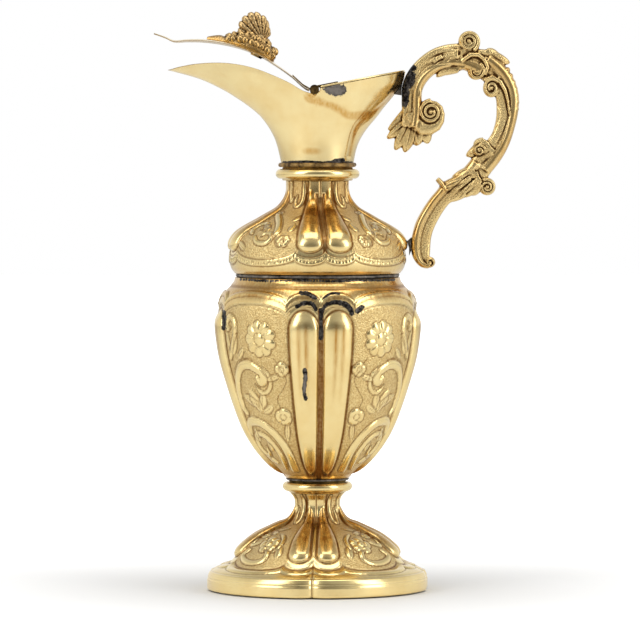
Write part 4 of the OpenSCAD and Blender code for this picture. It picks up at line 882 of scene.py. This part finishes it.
# painted reflection: a soft orange band below the hinge on the near side stands in for the darker room
# mirrored in the spout; a brown spot over the neck and solder by the hinge
band = gap_to(band_path, co[:, 0], co[:, 2]) + uneven(co, 0.9, 23)
tarnish = np.exp(-(band / 1.9) ** 4) * (co[:, 1] < 0) + smears(co, [(-2.7, 219.0, 4.0, 1.5)])
fold = gap_to(crease_path, co[:, 0], co[:, 2]) + uneven(co, 0.5, 22)
warm = ridge(fold, 0.9) * (co[:, 1] < 0) + 0.4 * np.clip((co[:, 0] - 36) / 9, 0, 1)
rim = np.clip(1 - np.abs(co[:, 2] - rim_height(co[:, 0])) / 0.45, 0, 1)
put_points(spout, co, matt=0, recess=0.7 * inside + 0.9 * rim, tarnish=0.8 * tarnish + warm,
           lead=smears(co, [(8.4, 248.9, 5.4, 2.8)]), flux=runs(co, spout_runs))
spout_gilt = gilt_metal("burnished_gilt_copper_sheet", "#EEDAA2", "#B9945A", "#7C5020", 0.2, 0.3, 0.75, 0.18,
                        film_and_reflection_colour="#BF8A2E")
spout.data.materials.append(spout_gilt)
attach(spout, "ewer")
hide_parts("spout")


# Lid: a shallow tongue of copper plate that follows the rim of the lip and curls up at its tip. It
# turns on the hinge and stands ajar.
ajar_degrees = 10.5


def ajar(co, angle=ajar_degrees):
    """Turns points on the lid open about the hinge."""
    c, s = math.cos(math.radians(angle)), math.sin(math.radians(angle))
    x, z = co[..., 0] - hinge_x, co[..., 2] - hinge_z
    return np.stack([hinge_x + x * c + z * s, co[..., 1], hinge_z - x * s + z * c], -1)


lid_length, lid_half_w, lid_columns = 84, 31, 46
lid_crown = [[0, 0], [0.15, 0.45], [0.35, 1], [0.75, 1], [0.9, 0.6], [1, 0.1]]


def lid_half(x):
    return lid_half_w * np.clip(1 - np.clip((hinge_x - x) / lid_length, 0, 1) ** 2, 0, 1) ** 0.675


def lid_under(x, y):
    half = np.maximum(lid_half(x), 0.5)
    return lip_height(x) + 0.4 + 0.8 * smooth(lid_crown, (hinge_x - x) / lid_length) * (1 - (y / half) ** 2)


rows = []
across = np.sin(np.linspace(-1, 1, lid_columns) * math.pi / 2)
edge = 0.28 * (1 - np.abs(across) ** 14)
for s in 1 - (1 - np.linspace(0, 0.998, 150)) ** 1.3:
    x = np.full(lid_columns, hinge_x - (hinge_gap + (lid_length - hinge_gap) * s))
    y = lid_half(x) * across
    z = lid_under(x, y) + 0.12 + uneven(np.stack([x, y, y * 0], 1), 0.1, 31)
    under, over = np.stack([x, y, z + 0.28 - edge], 1), np.stack([x, y, z + 0.4 + edge], 1)
    rows.append(np.concatenate([under, over[::-1]]))
lid = loft("lid_plate", ajar(np.array(rows)))
co = points_of(lid)
flat = ajar(co, -ajar_degrees)
rim = np.clip(1 - (lid_half(flat[:, 0]) - np.abs(flat[:, 1])) / 0.5, 0, 1)
underside = flat[:, 2] < lid_under(flat[:, 0], flat[:, 1]) + 0.3
put_points(lid, co, matt=0, recess=0.75 * rim, tarnish=0.3 * underside)
lid.data.materials.append(spout_gilt)
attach(lid, "lid")
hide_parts("lid")

# Rear cover: flat copper plate, cut to the shape of the back of the mouth and soldered on its rim.
cover_start = 2.7
x, y = mouth(np.radians(np.linspace(-86, 86, 120)), lip_length, back_length + 0.5, mouth_half_w + 0.5)
ring = np.stack([np.maximum(x - hinge_x, cover_start), y, 0 * x], 1)
ring = np.vstack([ring, [[cover_start, y, 0] for y in (20, 7, -7, -20)]])
centre = ring.mean(0)
c, s = math.cos(back_slope), math.sin(back_slope)
rings = []
# size of the outline and height over the rim, from the middle of the underside to the middle of the top
cover_rings = ((0, 0), (0.5, 0), (0.985, 0), (1, 0.12), (1, 0.68), (0.985, 0.8), (0.5, 0.8), (0, 0.8))
for grow, lift in cover_rings:
    flat = centre + (ring - centre) * grow
    rings.append(np.stack([hinge_x + flat[:, 0] * c - lift * s, flat[:, 1],
                           hinge_z + 0.3 + flat[:, 0] * s + lift * c], 1))
cover = loft("rear_cover_plate", rings, caps=False)
put_points(cover, points_of(cover), matt=0, recess=0)
cover.data.materials.append(spout_gilt)
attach(cover, "ewer")
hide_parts("rear_cover")

# Hinge: five rolled knuckles on a pin with riveted ends, darkened with age, and two leaves.
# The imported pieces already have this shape, so they get their metal here.
def dress(node, metal):
    """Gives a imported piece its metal."""
    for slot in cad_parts[node].material_slots:
        slot.material = metal


brass_grain = {"scale": 300.0, "detail": 4.0, "roughness": 0.6, "first": 0.35, "last": 0.65,
               "rough": (0.36, 0.36), "depth": 0.12, "metallic": 1.0}
tarnished = old_metal("tarnished_brass", "#38291A", "#8F7142", **brass_grain)
worn = old_metal("worn_brass", "#8E713F", "#D6B97C", **brass_grain)
for node in ("hinge_fixed_leaf", "hinge_pin"):
    dress(node, tarnished)
for node in ("hinge_moving_leaf", "finial_washer", "finial_nut"):
    dress(node, worn)


# Handle: two scrolls cast in brass and gilt, soldered into one big S. One edge of its band is
# a polished moulding, the rest a stippled channel, and it carries coiled volutes and acanthus leaves.
handle_t = 10
foot_mid, top_mid, scroll_reach = (51.6, 170.5), (47.3, 258.8), 51
# share of the reach out from the line between the two mids, share of the way up it, and half width
scroll = [
    [-0.051, 0.685, 0.45], [-0.027, 0.764, 0.48], [-0.018, 0.843, 0.5], [-0.004, 0.91, 0.52],
    [0.054, 0.975, 0.54], [0.157, 1.034, 0.56], [0.286, 1.073, 0.6], [0.445, 1.087, 0.62],
    [0.58, 1.067, 0.62], [0.706, 1.034, 0.65], [0.811, 0.983, 0.65], [0.885, 0.921, 0.62],
    [0.92, 0.854, 0.58], [0.913, 0.772, 0.54], [0.885, 0.697, 0.5], [0.843, 0.629, 0.5],
    [0.785, 0.573, 0.55], [0.713, 0.522, 0.6], [0.625, 0.462, 0.6], [0.539, 0.404, 0.62],
    [0.408, 0.348, 0.6], [0.309, 0.32, 0.57], [0.247, 0.292, 0.46], [0.182, 0.25, 0.46],
    [0.111, 0.191, 0.47], [0.051, 0.129, 0.48], [0.018, 0.073, 0.48], [0.002, 0.022, 0.49],
    [0.002, -0.034, 0.45], [0.028, -0.073, 0.35], [0.087, -0.09, 0.25]]
scroll_rows = [[i, foot_mid[0] + (top_mid[0] - foot_mid[0]) * up + out * scroll_reach,
                foot_mid[1] + (top_mid[1] - foot_mid[1]) * up, half * handle_t]
               for i, (out, up, half) in enumerate(scroll)]


def moulded_side(p):
    """Which edge of the band is the polished one: the inside of the loop, then its outside, then the left."""
    return np.where((p > 9) & (p < 18), -1.0, 1.0)


def band_frame(p):
    o = smooth(scroll_rows, p)
    ahead = smooth(scroll_rows, np.minimum(p + 0.05, len(scroll) - 1))
    behind = smooth(scroll_rows, np.maximum(p - 0.05, 0))
    return o, unit((ahead - behind)[:, :2])


def cross_ring(at, along, out, side):
    """A ring across a line on the middle plane: out is the reach in that plane, side the reach across it."""
    return np.stack([at[0] + along[1] * out, side, at[1] - along[0] * out], 1)


def scroll_band(name, first, last):
    """The band of the scroll between two rows of its table."""
    p = np.linspace(first, last, int((last - first) * 16))
    o, d = band_frame(p)
    th = np.radians(np.arange(0, 360, 6))
    out, flank = rounded(np.cos(th), 0.5), rounded(np.sin(th), 0.6)
    rings = []
    for i in range(len(p)):
        toward = out * moulded_side(p[i])
        side = flank * (0.8 + 0.22 * bead(toward - 0.62, 0.42) - 0.12 * ridge(toward - 0.14, 0.09)
                        + 0.1 * ridge(toward + 0.86, 0.12))
        rings.append(cross_ring(o[i], d[i], out * o[i, 2], side * handle_t / 2))
    return loft(name, rings)


def wire(line, half_w, half_t):
    """A raised strap along places x, z on the middle plane, through the whole thickness of the handle."""
    half_w, half_t = np.broadcast_to(half_w, len(line)), np.broadcast_to(half_t, len(line))
    th = np.radians(np.arange(0, 360, 15))
    out, side = rounded(np.cos(th), 0.9), rounded(np.sin(th), 0.5)
    return loft("wire", [cross_ring(o, t, out * w, side * y)
                         for o, t, w, y in zip(line, directions(line), half_w, half_t)])


def volute(centre, r, start, hand, laps=1.9, squash=1.0):
    """A coiled end: a disc with a spiral ridge that winds in to a round eye on both faces."""
    th = np.radians(np.arange(0, 360, 10.0))
    disc = loft("disc", [np.stack([centre[0] + 0.86 * r * squash * k * np.cos(th), 0 * th + y,
                                   centre[1] + 0.86 * r * k * np.sin(th)], 1)
                         for k, y in ((0.9, -0.41 * handle_t), (1, -0.37 * handle_t), (1, 0.37 * handle_t),
                                      (0.9, 0.41 * handle_t))])
    turn = np.linspace(0, laps, int(60 * laps))
    a = math.radians(start) + hand * 2 * math.pi * turn
    rho = r * (0.88 - 0.62 * (turn / laps) ** 0.8)
    coil = wire(np.stack([centre[0] + squash * rho * np.cos(a), centre[1] + rho * np.sin(a)], 1),
                r * (0.17 - 0.05 * turn / laps), handle_t * (0.5 - 0.02 * turn / laps))
    eye = ball((centre[0], 0, centre[1]), (0.22 * r, 0.53 * handle_t, 0.22 * r))
    return [disc, coil, eye]


def ball(centre, size, tilt=0):
    """A stretched ball, tilted in the middle plane."""
    th, ph = np.radians(np.arange(0, 360, 20)), np.radians(np.linspace(-89, 89, 11))
    c, s = math.cos(tilt), math.sin(tilt)
    rings = []
    for p in ph:
        x, y = size[0] * np.cos(p) * np.cos(th), size[1] * np.cos(p) * np.sin(th)
        z = size[2] * math.sin(p) + 0 * th
        rings.append(np.stack([centre[0] + x * c + z * s, centre[1] + y, centre[2] - x * s + z * c], 1))
    return loft("ball", rings)


def frond(points, half_w, thick, tip=0.5):
    """One lobe of a leaf along places x, z: swells from its root, hollowed by a vein, to a rounded tip."""
    line = through(points, 30)
    th = np.radians(np.arange(0, 360, 10))
    out = rounded(np.cos(th), 0.8)
    rings = []
    for i, (o, t) in enumerate(zip(line, directions(line))):
        u = i / (len(line) - 1)
        w = half_w * (0.6 + 0.45 * math.sin(math.pi * min(u * 0.9 + 0.1, 1))) * (1 - u ** 5) ** tip + 0.05
        y = thick / 2 * (1 - 0.35 * u) * (1 - u ** 8) ** 0.5 + 0.05
        side = np.sin(th) * (1 - 0.24 * ridge(out, 0.18) + 0.1 * np.cos(out * 9))
        rings.append(cross_ring(o, t, -out * w, side * y))
    return loft("frond", rings)


def fronds(*rows):
    """Lobes from rows that give three places x, z, a half width and a thickness."""
    return [frond(np.reshape(row[:6], (3, 2)), *row[6:]) for row in rows]


def polish(co, first, last):
    """1 on the polished moulding of the band, 0 elsewhere, for points in mm."""
    p = np.linspace(first, last, int((last - first) * 12))
    o, d = band_frame(p)
    best = np.full(len(co), 1e9)
    mask = np.zeros(len(co))
    for i in range(len(p)):
        x, z = co[:, 0] - o[i, 0], co[:, 2] - o[i, 1]
        far = x * x + z * z
        out = (x * d[i, 1] - z * d[i, 0]) / o[i, 2] * moulded_side(p[i])
        closer = far < best
        best = np.where(closer, far, best)
        mask = np.where(closer, np.clip((out - 0.14) * 8, 0, 1) * (out < 1.1), mask)
    return mask


def cast(name, parts, voxel, seed=5, gloss=None, places=(), veins=()):
    """Melts the parts into one skin, as the founder's wax was, softens it and gives it the cast grain."""
    bpy.ops.object.select_all(action="DESELECT")
    for part in parts:
        part.select_set(True)
    bpy.context.view_layer.objects.active = parts[0]
    bpy.ops.object.join()
    piece = bpy.context.object
    piece.name = piece.data.name = name
    melt = piece.modifiers.new("melt", "REMESH")
    melt.mode = "VOXEL"
    melt.voxel_size = voxel * mm
    melt.use_smooth_shade = True
    bpy.ops.object.modifier_apply(modifier="melt")
    soft = piece.modifiers.new("soft", "SMOOTH")
    soft.factor, soft.iterations = 0.5, 1
    bpy.ops.object.modifier_apply(modifier="soft")
    co = points_of(piece)
    pairs = np.empty(len(piece.data.edges) * 2, int)
    piece.data.edges.foreach_get("vertices", pairs)
    pairs = pairs.reshape(-1, 2)
    count = np.bincount(pairs.ravel(), minlength=len(co))
    flat = co.copy()
    for _ in range(14):
        total = np.zeros_like(co)
        for k in range(3):
            total[:, k] = (np.bincount(pairs[:, 0], flat[pairs[:, 1], k], len(co))
                           + np.bincount(pairs[:, 1], flat[pairs[:, 0], k], len(co)))
        flat = total / np.maximum(count, 1)[:, None]
    normals = np.empty(len(co) * 3)
    piece.data.vertices.foreach_get("normal", normals)
    normals = normals.reshape(-1, 3)
    hollow = ((flat - co) * normals).sum(1)
    bright = gloss(co) if gloss else 0
    cut = np.zeros(len(co))
    for path in veins:
        cut = np.maximum(cut, ridge(gap_to(path, co[:, 0], co[:, 2]), 0.42))
    cut *= np.abs(normals[:, 1]) > 0.35
    co = co - normals * 0.35 * cut[:, None]
    bright = bright * (1 - cut)
    co = co + normals * (uneven(co, 0.12, seed))[:, None] * (1 - 0.6 * np.asarray(bright).reshape(-1, 1))
    patch = np.clip(0.35 + uneven(co, 0.8, seed + 1), 0, 1)
    put_points(piece, co, matt=np.clip(0.6 + 3.0 * hollow, 0.12, 1) * (1 - bright),
               recess=hollow * 5.5 + 0.6 * cut, tarnish=0.35 * bright + 0.35 * patch, flux=smears(co, places))
    return piece


cast_gilt = gilt_metal("cast_gilt_brass", "#E8D096", "#A38148", "#4E3216", 0.24, 0.48, 0.7, 0.4)

upper = [scroll_band("upper", 0, 18.15)]
# the lower end of the band turns up and coils into the big inner volute
upper.append(wire([(46.8, 238.0), (47.8, 234.5), (49.8, 232.0), (52.8, 230.2), (56.2, 230.0), (59.5, 231.5),
                   (61.5, 234.2), (62.2, 237.5), (61.5, 240.8), (59.2, 242.9), (56.2, 243.6)],
                  [4.6, 4.5, 4.3, 3.8, 3.2, 2.6, 2.0, 1.5, 1.1, 0.9, 0.8], 4.4))
for row in (((56.5, 238.5), 6.6, 90, 1, 1.8), ((75.5, 273.8), 5.9, 300, 1, 2.1),
            ((79.2, 258.8), 4.9, 60, -1, 1.6), ((86.8, 250.5), 5.4, 40, 1, 1.5, 0.88),
            ((80.8, 219.2), 3.4, 20, 1, 1.3)):
    upper += volute(*row)
upper.append(wire([(72.2, 264.0), (76.2, 267.0), (80.2, 267.0), (83.2, 264.5), (84.8, 261.0), (83.8, 257.0)],
                  [1.2, 1.3, 1.2, 1.1, 1.0, 0.8], 5.4))
upper.append(wire([(83.2, 254.5), (87.2, 256.0), (91.2, 253.5), (93.8, 249.0), (95.2, 243.5), (95.8, 237.5)],
                  [1.0, 1.1, 1.2, 1.1, 0.9, 0.7], 5.3))
# the leaf at the lower end, then the leaves round the top and down to the joint
upper += fronds(
    (47.2, 235.5, 41.4, 230.4, 34.6, 225.2, 3.0, 7.6), (46.8, 234.5, 42.8, 226.8, 38.6, 219.4, 3.3, 8.0),
    (48.2, 233.5, 45.7, 225.6, 43.4, 218.2, 3.3, 8.2), (51.2, 231.5, 50.2, 226.0, 49.2, 221.5, 3.2, 8.0),
    (53.2, 231.0, 54.2, 226.5, 55.2, 222.5, 3.0, 7.6), (43.2, 238.5, 39.8, 233.5, 35.2, 229.5, 2.0, 6.4),
    (73.2, 261.5, 66.2, 260.5, 59.2, 256.0, 2.4, 10.9), (72.2, 265.5, 65.8, 264.5, 59.8, 261.5, 2.2, 10.7),
    (70.2, 259.5, 65.8, 259.0, 62.0, 257.2, 1.8, 10.2), (72.2, 268.5, 75.2, 267.0, 80.2, 268.5, 3.4, 9.6),
    (70.0, 268.5, 63.5, 268.4, 57.0, 264.6, 1.7, 11.4), (70.0, 266.2, 63.0, 265.4, 55.8, 260.4, 1.6, 11.6),
    (62.0, 266.2, 56.0, 262.6, 51.2, 256.6, 1.5, 11.2), (50.6, 246.2, 51.4, 252.6, 55.6, 257.6, 1.3, 11.0),
    (80.2, 267.5, 88.2, 265.5, 96.2, 263.0, 3.2, 9.4), (83.2, 264.5, 90.2, 261.5, 94.2, 259.0, 2.8, 9.8),
    (84.2, 268.5, 87.2, 267.5, 91.2, 266.0, 2.6, 8.6), (85.2, 259.5, 91.2, 256.5, 95.8, 253.5, 2.6, 10.0),
    (89.8, 255.5, 95.2, 250.5, 97.8, 245.5, 2.2, 10.2), (85.2, 223.0, 80.8, 220.0, 74.2, 216.5, 3.2, 10.4),
    (87.2, 220.5, 82.2, 215.5, 77.8, 212.5, 3.2, 10.6), (88.2, 217.5, 85.2, 213.0, 81.2, 210.5, 3.0, 10.6),
    (83.2, 224.5, 80.2, 223.0, 78.2, 221.0, 2.0, 9.6))
# a row of small beads down the outer edge
bead_places = ((95, 259.5), (96.5, 256.5), (97.8, 253.2), (98.8, 250), (99.4, 246.8), (99.6, 243.5),
               (99.4, 240.2))
for x, z in bead_places:
    upper.append(ball((x, 0, z), (1.35, 4.4, 1.5)))
# the leaf edges and veins that the chaser cut into both faces
upper_veins = [
    [(47.1, 240.5), (47.9, 248.8), (50.8, 255.5), (55.4, 259.6), (60.4, 261.7), (66.3, 262), (71.3, 260)],
    [(50, 258.8), (55.4, 265), (62.1, 268), (67.9, 268.8)],
    [(52.1, 260.5), (56.3, 263.4), (58.6, 262.2), (61.3, 265), (64, 263.2), (66.8, 266.4), (70, 264.2)],
    [(89.6, 243.8), (90.8, 237.1), (88.8, 230.5), (85.4, 223.8)],
    [(94.6, 250.5), (95.8, 243.8), (95.4, 237.1), (92.9, 229.6), (89.6, 223)],
    [(73.8, 214.6), (77.9, 213), (82.9, 210.5)], [(74.6, 210.5), (78.8, 210.5), (82.9, 208.8)],
    [(76, 217.5), (80.5, 216.5), (85.5, 218.5)], [(80, 212), (84, 214.5), (87, 218)],
    [(43.8, 232.1), (38.8, 228.8), (35, 225)], [(45, 231.3), (41.3, 223.8), (39.6, 219.6)],
    [(46.7, 230.5), (45.4, 223.8), (43.8, 219)], [(49.2, 229.6), (50.4, 224.6), (52.4, 222.4)],
    [(47.9, 230.5), (48.3, 225.5), (49.2, 221)], [(43, 236), (45, 240), (45.4, 246), (46.8, 252)]]
handle_upper = cast("handle_upper_casting", upper, 0.36, gloss=lambda co: polish(co, 0, 18),
                    veins=upper_veins,
                    places=[(45.2, 255.4, 3.5, 5.5), (43.7, 246.9, 2.2, 6.0), (46.6, 260.4, 2.5, 2.0)])
handle_upper.data.materials.append(cast_gilt)
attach(handle_upper, "ewer")
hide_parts("handle_upper_scroll")

lower = [scroll_band("lower", 17.85, 30)]
lower += volute((84.8, 201.0), 4.7, 120, -1, 1.8)
lower += volute((56.2, 163.5), 3.1, 200, 1, 1.3)
lower.append(wire([(59.8, 205.2), (62.0, 202.8), (64.2, 199.2)], [1.3, 1.5, 1.1], 5.5))
lower += fronds(
    (80.2, 207.5, 72.2, 205.5, 64.2, 201.5, 2.2, 12.0), (81.2, 205.5, 75.2, 200.5, 68.8, 195.0, 2.0, 12.2),
    (81.2, 204.5, 77.2, 199.5, 73.2, 196.0, 2.0, 12.2), (81.2, 202.5, 78.8, 199.0, 75.8, 197.5, 1.9, 11.8),
    (76.2, 205.5, 69.2, 200.5, 64.8, 194.5, 1.8, 12.0), (78.2, 209.5, 73.2, 208.5, 67.2, 206.0, 1.9, 11.8))
lower_veins = [
    [(78.8, 206.3), (71.3, 202.1), (64.6, 200.5)], [(77.9, 205), (72.1, 199.6), (66.3, 195.5)],
    [(77.5, 203.8), (73.8, 198.8), (70.6, 195.8)], [(76.7, 207.3), (68.8, 204.6), (63.9, 202.6)],
    [(74.5, 206.5), (69, 201.6), (65, 198.2)], [(79.6, 203.6), (77.2, 200.2), (74, 197.6)]]
handle_lower = cast("handle_lower_casting", lower, 0.32, gloss=lambda co: polish(co, 22, 30),
                    veins=lower_veins, places=[(45.7, 167.6, 1.3, 3.5)])
handle_lower.data.materials.append(cast_gilt)
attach(handle_lower, "ewer")
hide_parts("handle_lower_scroll")

for node in ("handle_top_solder", "handle_foot_solder"):
    dress(node, solder)

# Finial: a cast mound of leaves and berries on the lid, and a ribbed shell that stands in it. A screw
# through the lid holds both, with a washer and a nut under it.
screw_x = hinge_x - 31.5
lean = math.atan(float(lip_height(screw_x - 0.8) - lip_height(screw_x + 0.8)) / 1.6)
screw = np.array([screw_x, 0, float(lid_under(screw_x, 0.0))])


def on_screw(co):
    """From the screw's own frame, standing square on the lid, to the jug."""
    c, s = math.cos(lean), math.sin(lean)
    x, z = co[..., 0], co[..., 2]
    return ajar(np.stack([screw[0] + x * c + z * s, co[..., 1], screw[2] - x * s + z * c], -1))


mound_height = [[0, 0.12], [0.17, 0.34], [0.26, 0.32], [0.4, 0.68], [0.5, 0.95], [0.7, 1], [0.9, 0.95],
                [0.97, 0.72], [1, 0.3]]
mound_width = [[0, 0.2], [0.25, 0.55], [0.5, 0.9], [0.75, 1], [0.93, 0.85], [1, 0.6]]
mound_start, mound_length, mound_half_w, mound_h = screw_x - 26, 35, 10, 8.6


def mound_at(u):
    """Half width and height of the mound at a share of its length."""
    return mound_half_w * float(smooth(mound_width, u)), mound_h * float(smooth(mound_height, u))


v = np.sin(np.linspace(-1, 1, 21) * math.pi / 2)
rings = []
for u in np.linspace(0, 1, 50):
    w, h = mound_at(u)
    x = np.full(len(v), mound_start + mound_length * u)
    base = lid_under(x, v * w) + 0.9
    rise = 0.6 + 0.82 * h * np.sqrt(1 - v ** 2)
    under, over = np.stack([x, v * w, base], 1), np.stack([x, v * w, base + rise], 1)
    rings.append(ajar(np.concatenate([under, over[::-1]])))
mound = [loft("mound", rings)]
rng = np.random.default_rng(7)
for u in np.linspace(0.3, 0.97, 9):
    w, h = mound_at(u)
    for v in np.linspace(-0.9, 0.9, 7):
        x, y = mound_start + mound_length * u + rng.uniform(-0.8, 0.8), v * w + rng.uniform(-0.4, 0.4)
        z = float(lid_under(x, y)) + 1.3 + 0.78 * h * math.sqrt(1 - v * v)
        size = rng.uniform(1.25, 1.75)
        mound.append(ball(ajar(np.array([x, y, z])), (size, size * 0.85, size * rng.uniform(1.0, 1.35)),
                          tilt=rng.uniform(-0.5, 0.5)))
finial_gilt = gilt_metal("cast_gilt_brass_browned", "#BC9C68", "#4A3418", "#120B05", 0.22, 0.46, 0.7, 0.4)
shell_gilt = gilt_metal("cast_gilt_brass_pale", "#CDB282", "#7A5B34", "#2A1B0E", 0.24, 0.5, 0.7, 0.4)
finial_base = cast("finial_mound", mound, 0.26, seed=8)
finial_base.data.materials.append(finial_gilt)
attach(finial_base, "lid")
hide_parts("finial_base")

# reach of the ribs, as a share, at angles in degrees from the front of the jug
fan_rows = [[62, 0.3], [89, 0.48], [107, 0.74], [120, 0.86], [132, 0.97], [150, 1], [165, 0.97], [180, 0.88],
            [190, 0.78]]
fan_ribs, fan_r, fan_first, fan_last = 9, 16, 62, 190
hub_rise = 0.8 + 0.74 * mound_h
rings = []
s = np.linspace(0.2, 1, 22)
thin_edge = np.sqrt(np.clip(1 - (np.clip(s - 0.86, 0, 1) / 0.145) ** 2, 0.02, 1))
for t in np.linspace(0, 1, 120):
    rib = abs(math.sin(math.pi * fan_ribs * t))
    degrees = fan_first + (fan_last - fan_first) * t
    r = fan_r * float(smooth(fan_rows, degrees)) * (1 - 0.075 * (1 - rib) ** 2)
    a = math.radians(degrees)
    half = 2.3 * (0.4 + 0.6 * s * (1.3 - s) / 0.42) * (0.66 + 0.34 * rib) * thin_edge
    half *= 1 - 0.1 * (np.cos(s * 26) > 0.5) * (s > 0.5)
    face = np.stack([r * s * math.cos(a), half, hub_rise + r * s * math.sin(a)], 1)
    rings.append(on_screw(np.concatenate([face * [1, -1, 1], face[::-1]])))
tang_r = 1.5
th = np.radians(np.arange(0, 360, 15))
tang = [on_screw(np.stack([tang_r * np.cos(th), tang_r * np.sin(th), 0 * th + z], 1))
        for z in np.linspace(-1.35, hub_rise, 24)]
shell = cast("finial_shell_casting", [loft("fan", rings), loft("tang", tang),
                                      ball(on_screw(np.array([0, 0, hub_rise])), (2.3, 2.2, 2.3)),
                                      ball((-28.4, 0, 275.4), (2.8, 2.4, 2.2)),
                                      ball((-25.9, 0, 273.4), (2.4, 2.2, 2.2))], 0.22, seed=9)
shell.data.materials.append(shell_gilt)
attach(shell, "lid")
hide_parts("finial_shell")
